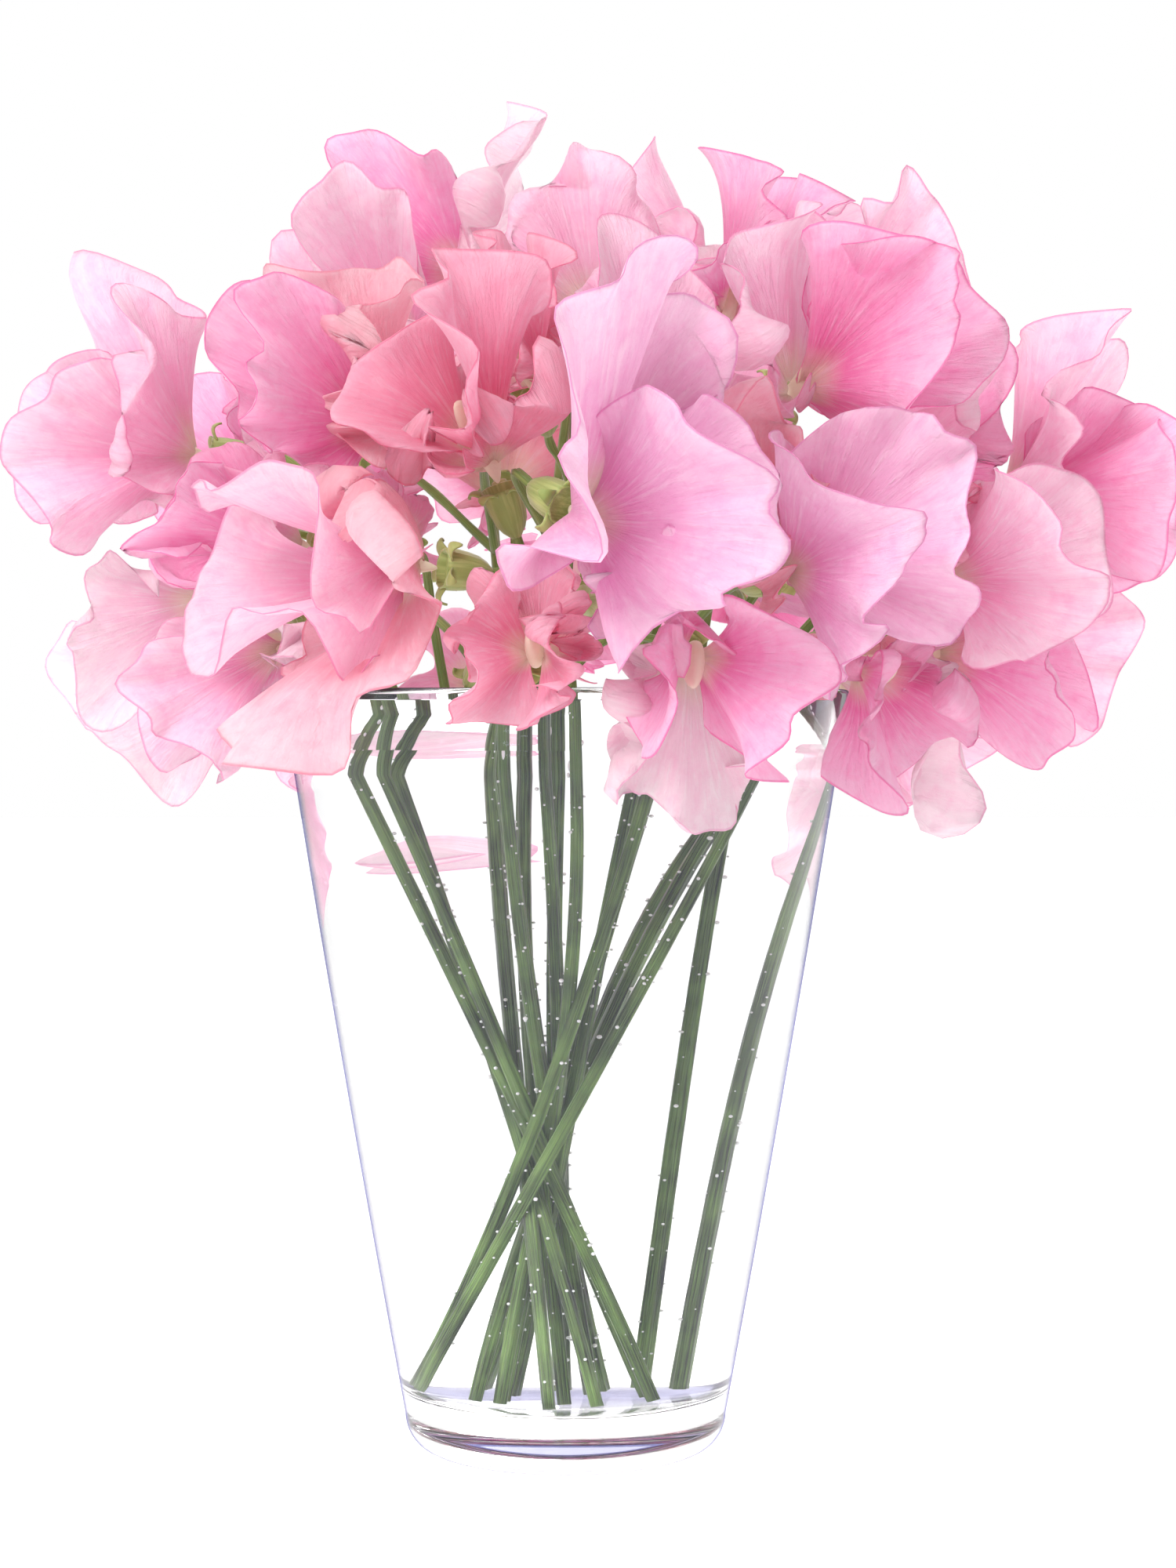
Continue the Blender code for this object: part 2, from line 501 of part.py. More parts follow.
class Net:
    """Every stem and pedicel as points and the runs between them, so that they can be spread."""

    def __init__(self, blooms):
        self.points = []
        self.fixed = []
        self.runs = []
        self.stems = []
        self.pedicels = []
        for spray, (foot, mouth) in enumerate(SPRAYS):
            self.add_spray(spray, foot, mouth, [b for b in blooms if b.spray == spray])
        self.points = np.array(self.points)
        self.start = self.points.copy()

    def add_points(self, points, fixed):
        first = len(self.points)
        self.points.extend(points)
        self.fixed.extend(fixed)
        return list(range(first, first + len(points)))

    def add_spray(self, spray, foot, mouth, blooms):
        """A stem that ends in its top bloom's calyx, and a pedicel for each lower bloom."""
        draw = random.Random(SEED * 7 + spray)
        foot = np.array((foot[0], foot[1], FLOOR + 2 * GAP))
        rim = np.array((mouth[0], mouth[1], CROSSING_LEVEL))
        top = blooms[-1]
        end = top.mouth - top.forward * CALYX_LENGTH
        rise, reach = np.linalg.norm(rim - foot), np.linalg.norm(end - rim)
        way = unit(unit(rim - foot) + 0.6 * unit(end - rim))
        lower_way = unit(rim - foot) + np.array((draw.uniform(-0.06, 0.06), draw.uniform(-0.06, 0.06), 0))
        lower = hermite(foot, lower_way * rise, rim, way * rise, STEM_PARTS)
        upper = hermite(rim, way * reach, end, top.forward * reach * 0.7, NECK_PARTS)
        tip = [end - top.forward * STEM_END, end + top.forward * SUNK]
        upper = [point for point in upper if np.linalg.norm(point - end) > 2 * STEM_END]
        stem = self.add_points(list(lower) + upper + tip,
                               [False] * (len(lower) + len(upper)) + [True, True])
        self.stems.append(stem)
        self.add_runs(stem, spray, STEM_RADIUS, top)
        for bloom in blooms[:-1]:
            end = bloom.mouth - bloom.forward * CALYX_LENGTH
            aim = end - bloom.forward * 3 * PEDICEL_END - np.array((0, 0, PEDICEL_END))
            gaps = [np.linalg.norm(self.points[place] - aim) for place in stem[FIRST_NODE:-2]]
            leave = stem[FIRST_NODE + int(np.argmin(gaps))]
            root = self.points[leave]
            reach = np.linalg.norm(end - root)
            after = stem[stem.index(leave) + 1]
            way = unit(unit(self.points[after] - root) + unit(end - root))
            middle = hermite(root, way * reach, end, bloom.forward * reach, PEDICEL_PARTS)
            middle = [point for point in middle if np.linalg.norm(point - end) > 2 * PEDICEL_END]
            tip = [end - bloom.forward * PEDICEL_END, end + bloom.forward * SUNK]
            own = self.add_points(middle + tip, [False] * len(middle) + [True, True])
            self.pedicels.append((spray, [leave] + own))
            self.add_runs([leave] + own, spray, PEDICEL_RADIUS, bloom)

    def add_runs(self, places, spray, radius, bloom):
        for first, second in zip(places, places[1:]):
            self.runs.append((first, second, spray, radius, bloom))

    def spread(self, blooms):
        """Move free points until no run comes near another spray, a calyx, a bloom or the glass."""
        heads = np.array([run[0] for run in self.runs])
        tails = np.array([run[1] for run in self.runs])
        owner = np.array([run[2] for run in self.runs])
        thick = np.array([run[3] for run in self.runs])
        free = np.where(self.fixed, 0.0, 1.0)[:, None]
        one, two = np.triu_indices(len(self.runs), 1)
        apart = owner[one] != owner[two]
        one, two = one[apart], two[apart]
        bodies = [body for bloom in blooms for body in bloom.bodies()]
        guard = [(run, body) for run in range(len(self.runs)) for body in range(len(bodies))
                 if bodies[body][3] is not self.runs[run][4]
                 and (bodies[body][4] or bodies[body][3].spray != owner[run])]
        guarded = np.array([run for run, _ in guard])
        from_points = np.array([bodies[body][0] for _, body in guard])
        to_points = np.array([bodies[body][1] for _, body in guard])
        body_size = np.array([bodies[body][2] for _, body in guard])
        for turn in range(SPREAD_ROUNDS):
            points = self.points
            push = np.zeros_like(points)
            s, t, way, distance = nearest(points[heads[one]], points[tails[one]],
                                          points[heads[two]], points[tails[two]])
            short = np.maximum(thick[one] + thick[two] + STEM_CLEARANCE - distance, 0)[:, None]
            step = 0.3 * short * way
            np.add.at(push, heads[one], -(1 - s) * step)
            np.add.at(push, tails[one], -s * step)
            np.add.at(push, heads[two], (1 - t) * step)
            np.add.at(push, tails[two], t * step)
            s, t, way, distance = nearest(points[heads[guarded]], points[tails[guarded]],
                                          from_points, to_points)
            short = np.maximum(thick[guarded] + body_size + BLOOM_CLEARANCE - distance, 0)[:, None]
            np.add.at(push, heads[guarded], -0.5 * (1 - s) * short * way)
            np.add.at(push, tails[guarded], -0.5 * s * short * way)
            points += free * push
            if turn < 0.7 * SPREAD_ROUNDS:
                self.ease()
            self.stay_in_glass(free)

    def ease(self):
        """Share each point's shift with its neighbours, so that a pushed stem bends gently."""
        shift = self.points - self.start
        for stem in self.stems:
            for before, here, after in zip(stem, stem[1:], stem[2:]):
                if not self.fixed[here]:
                    mean = (shift[before] + shift[after]) / 2
                    self.points[here] += 0.25 * (mean - shift[here])

    def stay_in_glass(self, free):
        """Keep feet on the floor, stems inside the glass and everything else above the rim."""
        points = self.points
        radius = np.linalg.norm(points[:, :2], axis=1)
        height = points[:, 2]
        room = np.minimum(inner_radius(height) - STEM_RADIUS - GLASS_CLEARANCE,
                          MOUTH_RADIUS - MOUTH_CLEARANCE)
        on_floor = inner_radius(FLOOR) - FLOOR_FILLET - STEM_HOLE_RADIUS
        room = np.where(height < FLOOR + 2 * FLOOR_FILLET, on_floor, room)
        inside = (height < VASE_HEIGHT + STEM_END) & (radius > room) & (free[:, 0] > 0)
        points[inside, :2] *= (room[inside] / radius[inside])[:, None]
        for stem in self.stems:
            points[stem[0], 2] = FOOT_LEVEL


def nearest(a, b, c, d):
    """For runs a-b and c-d: the parts along each of their nearest points, the way and distance."""
    first, second, across = b - a, d - c, a - c
    aa = np.maximum((first * first).sum(1), 1e-12)
    ee = np.maximum((second * second).sum(1), 1e-12)
    bb = (first * second).sum(1)
    cc = (first * across).sum(1)
    ff = (second * across).sum(1)
    s = np.clip((bb * ff - cc * ee) / np.maximum(aa * ee - bb * bb, 1e-14), 0, 1)
    t = np.clip((bb * s + ff) / ee, 0, 1)
    s = np.clip((bb * t - cc) / aa, 0, 1)
    way = (c + second * t[:, None]) - (a + first * s[:, None])
    distance = np.maximum(np.linalg.norm(way, axis=1), 1e-7)
    return s[:, None], t[:, None], way / distance[:, None], distance


def nearest_on_vase(place):
    """The nearest point of the vase, taken as solid, to a place outside it."""
    radius = math.hypot(place[0], place[1])
    if radius < MOUTH_RADIUS and place[2] > VASE_HEIGHT:
        return np.array((place[0], place[1], VASE_HEIGHT))
    slope = np.array((MOUTH_RADIUS - HEEL_RADIUS, VASE_HEIGHT))
    from_foot = np.array((radius - HEEL_RADIUS - 4 * BELLY_SWELL, place[2]))
    part = min(max(from_foot @ slope / (slope @ slope), 0), 1)
    wall = HEEL_RADIUS + (MOUTH_RADIUS - HEEL_RADIUS) * part
    return np.array((place[0] / radius * wall, place[1] / radius * wall, VASE_HEIGHT * part))


def give_room(blooms, net):
    """Give each bloom the planes that part it from its neighbours, the stems and the vase."""
    for first, one in enumerate(blooms):
        for other in blooms[first + 1:]:
            if np.linalg.norm(one.middle - other.middle) > NEIGHBOUR_REACH:
                continue
            normal, place = parting_plane(one, other)
            one.planes.append((normal, place - one.middle @ normal - PETAL_MARGIN))
            other.planes.append((-normal, other.middle @ normal - place - PETAL_MARGIN))
    for bloom in blooms:
        solids = [(net.points[run[0]], net.points[run[1]], run[3]) for run in net.runs]
        solids += [body[:3] for other in blooms for body in other.bodies()
                   if other is not bloom and not body[4]]
        for start, end, thick in solids:
            part = np.clip((bloom.middle - start) @ (end - start) / ((end - start) @ (end - start)), 0, 1)
            near = start + part * (end - start)
            behind = max((start - bloom.mouth) @ bloom.forward, (end - bloom.mouth) @ bloom.forward)
            reach = np.linalg.norm(near - bloom.middle)
            if behind + thick > 0 and reach < NEIGHBOUR_REACH:
                bloom.planes.append(((near - bloom.middle) / reach, reach - thick - PETAL_MARGIN))
        near = nearest_on_vase(bloom.middle)
        reach = np.linalg.norm(near - bloom.middle)
        bloom.planes.append(((near - bloom.middle) / reach, reach - PETAL_MARGIN))


def tube(name, points, radii, thickness, resolution, collection):
    """A round rod along points, made as a curve and turned into a mesh with welded caps."""
    curve = bpy.data.curves.new(name, "CURVE")
    curve.dimensions = "3D"
    curve.bevel_depth = thickness
    curve.bevel_resolution = resolution
    curve.use_fill_caps = True
    spline = curve.splines.new("POLY")
    spline.points.add(len(points) - 1)
    for place, point, radius in zip(spline.points, points, radii):
        place.co = (*point, 1)
        place.radius = radius
    route = bpy.data.objects.new(name, curve)
    collection.objects.link(route)
    return welded(route, collection)


def welded(source, collection):
    """A closed mesh in place of an object whose ends or margins only meet."""
    piece = made_mesh(source.name + "_mesh", source, collection)
    bpy.data.objects.remove(source)
    shape = bmesh.new()
    shape.from_mesh(piece.data)
    bmesh.ops.remove_doubles(shape, verts=shape.verts, dist=0.00001)
    bmesh.ops.triangulate(shape, faces=shape.faces)
    shape.to_mesh(piece.data)
    shape.free()
    return piece


def made_mesh(name, source, collection):
    """A mesh object of what the source object looks like with its modifiers."""
    bpy.context.view_layer.update()
    evaluated = source.evaluated_get(bpy.context.evaluated_depsgraph_get())
    mesh = bpy.data.meshes.new_from_object(evaluated)
    piece = bpy.data.objects.new(name, mesh)
    piece.matrix_world = source.matrix_world
    collection.objects.link(piece)
    return piece


def mesh_piece(name, points, faces, collection):
    mesh = bpy.data.meshes.new(name)
    mesh.from_pydata([tuple(point) for point in points], [], faces)
    piece = bpy.data.objects.new(name, mesh)
    collection.objects.link(piece)
    return piece


def calyx(bloom, collection):
    """A green cup with five pointed sepals that stand out like a star round its mouth."""
    points = []
    for depth, radius in ((CALYX_LENGTH, CALYX_BASE_RADIUS), (CALYX_LENGTH * 0.4, CALYX_RADIUS)):
        for step in range(SEPALS):
            points.append(bloom.around(-depth, radius, step / SEPALS))
    for step in range(SEPALS):
        points.append(bloom.around(-GAP, VALLEY_RADIUS, (step - 0.5) / SEPALS))
        points.append(bloom.around(-SEPAL_DROP, SEPAL_REACH, step / SEPALS))
    points.append(bloom.mouth - bloom.forward * GAP / 2)
    n = SEPALS
    faces = [tuple(range(n))[::-1]]
    for step in range(n):
        after = (step + 1) % n
        valley, tip = 2 * n + 2 * step, 2 * n + 2 * step + 1
        next_valley = 2 * n + 2 * after
        faces.append((step, after, n + after, n + step))
        faces.append((n + step, tip, valley))
        faces.append((n + step, next_valley, tip))
        faces.append((n + step, n + after, next_valley))
        faces.append((valley, tip, 4 * n))
        faces.append((tip, next_valley, 4 * n))
    piece = mesh_piece("calyx", points, faces, collection)
    face_outwards(piece.data)
    return piece


def face_outwards(mesh):
    shape = bmesh.new()
    shape.from_mesh(mesh)
    bmesh.ops.recalc_face_normals(shape, faces=shape.faces)
    shape.to_mesh(mesh)
    shape.free()


def keel(bloom, collection):
    """The cream boat between the wings, whose narrow end is the claw that all petals share."""
    shape = bmesh.new()
    bmesh.ops.create_uvsphere(shape, u_segments=6, v_segments=3, radius=1)
    size = bloom.size
    for vertex in shape.verts:
        part = (1 - vertex.co.z) / 2
        forward = GAP + part * KEEL_LENGTH * size
        slim = 0.55 + 0.45 * min(part / 0.5, 1)
        sideways = vertex.co.x * KEEL_WIDTH / 2 * size * slim
        upward = vertex.co.y * KEEL_HEIGHT / 2 * size * slim + (part * part - 0.3 * part) * 0.006 * size
        point = bloom.place(np.array([forward]), np.array([sideways]), np.array([upward]))
        vertex.co = bloom.held(point, 0, EDGE_KNEE)[0]
    mesh = bpy.data.meshes.new("keel")
    shape.to_mesh(mesh)
    shape.free()
    face_outwards(mesh)
    piece = bpy.data.objects.new("keel", mesh)
    collection.objects.link(piece)
    return piece


def blade(bloom, span, rings, surface, phases, count, collection):
    """A petal: an open waved sheet of triangles, thickened except along its own margin."""
    angles, parts, starts = [0.0], [0.0], [0]
    for ring, steps in enumerate(rings):
        starts.append(len(angles))
        for step in range(steps + 1):
            angles.append(span[0] + (span[1] - span[0]) * step / steps)
            parts.append(((ring + 1) / len(rings)) ** 0.9)
    points = bloom.blade(surface, np.array(angles), np.array(parts), phases, count)
    faces = [(0, starts[1] + step, starts[1] + step + 1) for step in range(rings[0])]
    inner = []
    for ring in range(1, len(rings)):
        faces += zipped(starts[ring], rings[ring - 1], starts[ring + 1], rings[ring])
        inner += range(starts[ring] + 1, starts[ring] + rings[ring - 1])
    piece = mesh_piece("blade", points, faces, collection)
    piece.vertex_groups.new(name="thick").add([0] + inner, 1, "REPLACE")
    thicken = piece.modifiers.new("thicken", "SOLIDIFY")
    thicken.thickness = PETAL_THICKNESS
    thicken.offset = 0
    thicken.use_rim = True
    thicken.vertex_group = "thick"
    thicken.thickness_vertex_group = 0
    return welded(piece, collection)


def zipped(low, low_steps, high, high_steps):
    """Triangles between two rings, none of which lies wholly on the blade's margin."""
    faces, far = [], 0
    for near in range(low_steps):
        stop = round(near / (low_steps - 1) * high_steps)
        while far < stop:
            faces.append((low + near, high + far, high + far + 1))
            far += 1
        faces.append((low + near, high + far, low + near + 1))
    return faces


def fuse(name, base, others, material, collection):
    """One body of the base and all objects of a collection, which are removed."""
    union = base.modifiers.new("fuse", "BOOLEAN")
    union.operation = "UNION"
    union.operand_type = "COLLECTION"
    union.collection = others
    union.solver = "MANIFOLD"
    piece = made_mesh(name, base, collection)
    for spent in [base] + list(others.objects):
        bpy.data.objects.remove(spent)
    keep_outer_body(piece.data)
    piece.data.materials.clear()
    piece.data.materials.append(material)
    return piece


def keep_outer_body(mesh):
    """Drop the small hollows and scraps that a union can leave, and split faces in triangles."""
    shape = bmesh.new()
    shape.from_mesh(mesh)
    bmesh.ops.triangulate(shape, faces=shape.faces)
    left = set(shape.verts)
    bodies = []
    while left:
        body, border = set(), [left.pop()]
        while border:
            vertex = border.pop()
            body.add(vertex)
            for edge in vertex.link_edges:
                other = edge.other_vert(vertex)
                if other in left:
                    left.discard(other)
                    border.append(other)
        bodies.append(body)
    bodies.sort(key=len)
    spare = [vertex for body in bodies[:-1] for vertex in body]
    bmesh.ops.delete(shape, geom=spare, context="VERTS")
    shape.to_mesh(mesh)
    shape.free()


def plain_material(name, colour, roughness, alpha=1.0):
    material = bpy.data.materials.new(name)
    material.use_nodes = True
    surface = material.node_tree.nodes["Principled BSDF"]
    surface.inputs["Base Color"].default_value = (*colour, 1)
    surface.inputs["Roughness"].default_value = roughness
    surface.inputs["Alpha"].default_value = alpha
    return material


def build_bloom(bloom, material, work, collection):
    core = keel(bloom, work)
    blades = bpy.data.collections.new("blades")
    bpy.context.scene.collection.children.link(blades)
    for span, rings, surface, phases, count in bloom.petals():
        blade(bloom, span, rings, surface, phases, count, blades)
    fuse(bloom.name, core, blades, material, collection)
    bpy.data.collections.remove(blades)


def build_spray(spray, net, blooms, material, work, collection):
    """The stem with its pedicels and calyxes as one green body."""
    stem = net.stems[spray]
    ratio = STEM_TIP_RADIUS / STEM_RADIUS
    taper = [1 - (1 - ratio) * (step / (len(stem) - 1)) ** 2 for step in range(len(stem))]
    base = tube("stem", net.points[stem], taper, STEM_RADIUS, 1, work)
    others = bpy.data.collections.new("twigs")
    bpy.context.scene.collection.children.link(others)
    for owner, pedicel in net.pedicels:
        if owner == spray:
            tube("pedicel", net.points[pedicel], [1] * len(pedicel), PEDICEL_RADIUS, 0, others)
    for bloom in blooms:
        if bloom.spray == spray:
            calyx(bloom, others)
    fuse("spray_%02d" % (spray + 1), base, others, material, collection)
    bpy.data.collections.remove(others)


def build_water(net, material, collection, cutters):
    """The water that fills the vase, with a plain hole round each stem."""
    water = turned("water", water_profile(), material, collection)
    for stem in net.stems:
        points = [net.points[place] for place in stem]
        wet = [point for point in points if point[2] < WATER_LEVEL + 0.004]
        below = wet[0] - unit(wet[1] - wet[0]) * 0.005
        above = wet[-1] + unit(points[len(wet)] - wet[-1]) * max(0.002, WATER_LEVEL + 0.006 - wet[-1][2])
        route = [below] + wet + [above]
        cutter = tube("stem_hole", route, [1] * len(route), STEM_HOLE_RADIUS, 1, cutters)
        cutter.hide_render = True
        cutter.display_type = "WIRE"
    holes = water.modifiers.new("stem holes", "BOOLEAN")
    holes.operation = "DIFFERENCE"
    holes.operand_type = "COLLECTION"
    holes.collection = cutters
    holes.solver = "EXACT"
    return water


def main():
    for spare in list(bpy.data.objects):
        bpy.data.objects.remove(spare)
    collection = bpy.data.collections.new("vase_of_sweet_peas")
    cutters = bpy.data.collections.new("cutters")
    work = bpy.data.collections.new("work")
    for group in (collection, cutters, work):
        bpy.context.scene.collection.children.link(group)
    glass = plain_material("glass", (0.93, 0.96, 0.96), 0.02, 0.35)
    wet = plain_material("water", (0.90, 0.96, 0.96), 0.02, 0.45)
    green = plain_material("stem_green", (0.20, 0.30, 0.13), 0.55)
    pink = plain_material("petal_pink", (0.92, 0.42, 0.58), 0.60)
    blooms = [Bloom(index, row) for index, row in enumerate(BLOOMS)]
    net = Net(blooms)
    net.spread(blooms)
    give_room(blooms, net)
    turned("vase", vase_profile(), glass, collection)
    build_water(net, wet, collection, cutters)
    for spray in range(len(SPRAYS)):
        build_spray(spray, net, blooms, green, work, collection)
    for bloom in blooms:
        build_bloom(bloom, pink, work, collection)
    bpy.data.collections.remove(work)
    for piece in collection.objects:
        piece.data.shade_smooth()
        piece.data.set_sharp_from_angle(angle=math.radians(50))


if __name__ == "__main__":
    main()
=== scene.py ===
# Sweet peas in a glass vase of water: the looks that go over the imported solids.
# Lengths are in metres, if nothing else is said, and angles in degrees. The vase stands at the
# origin and the front is -Y.
import math
import random

import bpy
import numpy as np
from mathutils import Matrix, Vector


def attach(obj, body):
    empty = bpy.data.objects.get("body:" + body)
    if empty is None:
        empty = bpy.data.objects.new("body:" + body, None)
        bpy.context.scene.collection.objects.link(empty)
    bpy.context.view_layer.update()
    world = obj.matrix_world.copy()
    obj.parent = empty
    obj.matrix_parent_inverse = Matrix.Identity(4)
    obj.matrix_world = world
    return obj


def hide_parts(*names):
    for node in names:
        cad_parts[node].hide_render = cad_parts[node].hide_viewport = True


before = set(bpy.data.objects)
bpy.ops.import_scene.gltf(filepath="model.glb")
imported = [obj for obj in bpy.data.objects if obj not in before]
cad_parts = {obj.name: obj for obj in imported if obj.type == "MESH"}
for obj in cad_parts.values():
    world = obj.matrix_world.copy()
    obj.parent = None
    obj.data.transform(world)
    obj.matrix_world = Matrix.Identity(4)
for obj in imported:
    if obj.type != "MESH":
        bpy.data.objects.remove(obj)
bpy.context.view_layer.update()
print("frame loaded")

vase = dict(height=0.168, footRadius=0.0300, heelRadius=0.0358, heelHeight=0.0075, mouthRadius=0.0630,
            bellySwell=0.0006, wall=0.0026, floor=0.0130, fillet=0.0040, sides=128)
water = dict(level=0.1645, intoGlass=0.00012, meniscus=0.0011, climb=0.0050)
stems = dict(radius=0.00155, tipRadius=0.00115, pedicelRadius=0.00105, clearance=0.0013,
             bloomClearance=0.0008, glassClearance=0.0016, mouthClearance=0.0070, holeRadius=0.00215,
             footLevel=0.0138, crossing=0.160, rounds=160, lower=(0, 0.24, 0.48, 0.70, 0.88),
             neck=(0, 0.25, 0.5, 0.75), pedicel=(0.35, 0.68), firstNode=4, stemEnd=0.005,
             pedicelEnd=0.004, sunk=0.0015, slim=0.78, push=0.3, bodyPush=0.5, following=0.25,
             settled=0.7, easing=16, sway=0.06, early=0.6, lead=0.7)
calyxes = dict(length=0.0110, radius=0.0042, sepalReach=0.0074, sepalDrop=0.0022, sepals=5)
petals = dict(standardWidth=0.0300, standardHeight=0.0440,
              standardAngles=(0, 25, 50, 75, 100, 126),
              standardReach=(0.0425, 0.0470, 0.0440, 0.0365, 0.0265, 0.0150),
              wingLength=0.0330, wingHeight=0.0210,
              wingAngles=(-86, -56, -26, 2, 30, 56, 80),
              wingReach=(0.0115, 0.0265, 0.0345, 0.0365, 0.0360, 0.0290, 0.0130),
              keelLength=0.0175, keelHeight=0.0080, keelWidth=0.0046,
              clawDepth=0.0018, trumpetDepth=0.0022, wingRoot=0.0044, wingSide=0.0009,
              wingClaw=0.0036, wingGap=0.0018, clawRadius=0.0034, cadThickness=0.0009,
              pleat=0.0072, crispness=0.80, longWave=0.0026, swell=0.0018, standardWaves=5.6, wingWaves=5.0,
              lobe=0.085, smallLobe=0.022, notch=0.07, notchWidth=0.16, creaseWidth=0.15, clawLean=14,
              middle=0.0130, gap=0.0003)
ruffle = dict(fine=0.0036, fineCount=17, finest=0.0013, finestCount=27, lip=0.0016, passes=8)
room = dict(margin=0.00080, waves=0.0046, smallest=0.0030, neighbour=0.0900, leastShare=0.34,
            claw=0.0045, core=0.0110, heart=0.0050, knee=0.65, lastKnee=0.9, squareness=10,
            spread=2e-5, along=0.6, turn=0.2)
seed = 41

# How a flower's petals lie. lean, reflex, cup, crease and rolls shape the standard, the rest the wings
forms = {
    "open": dict(lean=68, reflex=34, cup=-14, crease=12, rollLeft=-26, rollRight=-12,
                 spread=13, bow=12, flare=8, curl=20, pitch=-2),
    "hooded": dict(lean=62, reflex=4, cup=14, crease=4, rollLeft=18, rollRight=-30,
                   spread=6, bow=12, flare=-10, curl=-6, pitch=4),
    "swept": dict(lean=84, reflex=44, cup=-22, crease=-4, rollLeft=-32, rollRight=-22,
                  spread=18, bow=16, flare=24, curl=34, pitch=-8),
    "half": dict(lean=64, reflex=30, cup=6, crease=36, rollLeft=-54, rollRight=-24,
                 spread=8, bow=10, flare=-4, curl=8, pitch=4),
    "folded": dict(lean=66, reflex=30, cup=0, crease=52, rollLeft=-34, rollRight=-60,
                   spread=8, bow=8, flare=-4, curl=6, pitch=0),
}

# Each spray, in millimetres: where its cut end stands, and where its stem passes the mouth
sprays = [
    ((13, 4), (-34, -8)), ((16, -10), (-38, 10)), ((6, -18), (-27, 32)), ((4, 10), (-17, -12)),
    ((0, -12), (-14, 20)), ((-4, 16), (-2, -2)), ((-9, 8), (11, -14)), ((-12, -14), (12, 26)),
    ((10, 22), (26, 6)), ((-22, 8), (24, -24)), ((16, 16), (37, 10)), ((-26, -2), (36, -14)),
    ((-8, 24), (9, -34)), ((-1, 26), (-5, -24)), ((5, 18), (-18, -30)), ((-3, -24), (-10, 40)),
    ((-18, -10), (28, 34)), ((-10, -6), (18, 44)),
]

# Petal tints as sRGB: the blade, its pale parts and the flush at its throat. The pale one is also laid on
# each wrinkle's crest as painted highlight, and the flush in each wrinkle's valley as painted shade
tints = {
    "pink": ((0.980, 0.79, 0.88), (0.990, 0.90, 0.94), (0.965, 0.55, 0.75)),
    "blush": ((0.985, 0.86, 0.91), (0.995, 0.95, 0.965), (0.965, 0.68, 0.82)),
    "coral": ((0.982, 0.69, 0.785), (0.992, 0.83, 0.885), (0.962, 0.50, 0.645)),
    "apricot": ((0.987, 0.75, 0.805), (0.994, 0.87, 0.895), (0.965, 0.55, 0.665)),
    "magenta": ((0.975, 0.70, 0.84), (0.985, 0.83, 0.91), (0.955, 0.42, 0.69)),
    "lilac": ((0.960, 0.76, 0.88), (0.985, 0.88, 0.94), (0.920, 0.54, 0.77)),
}

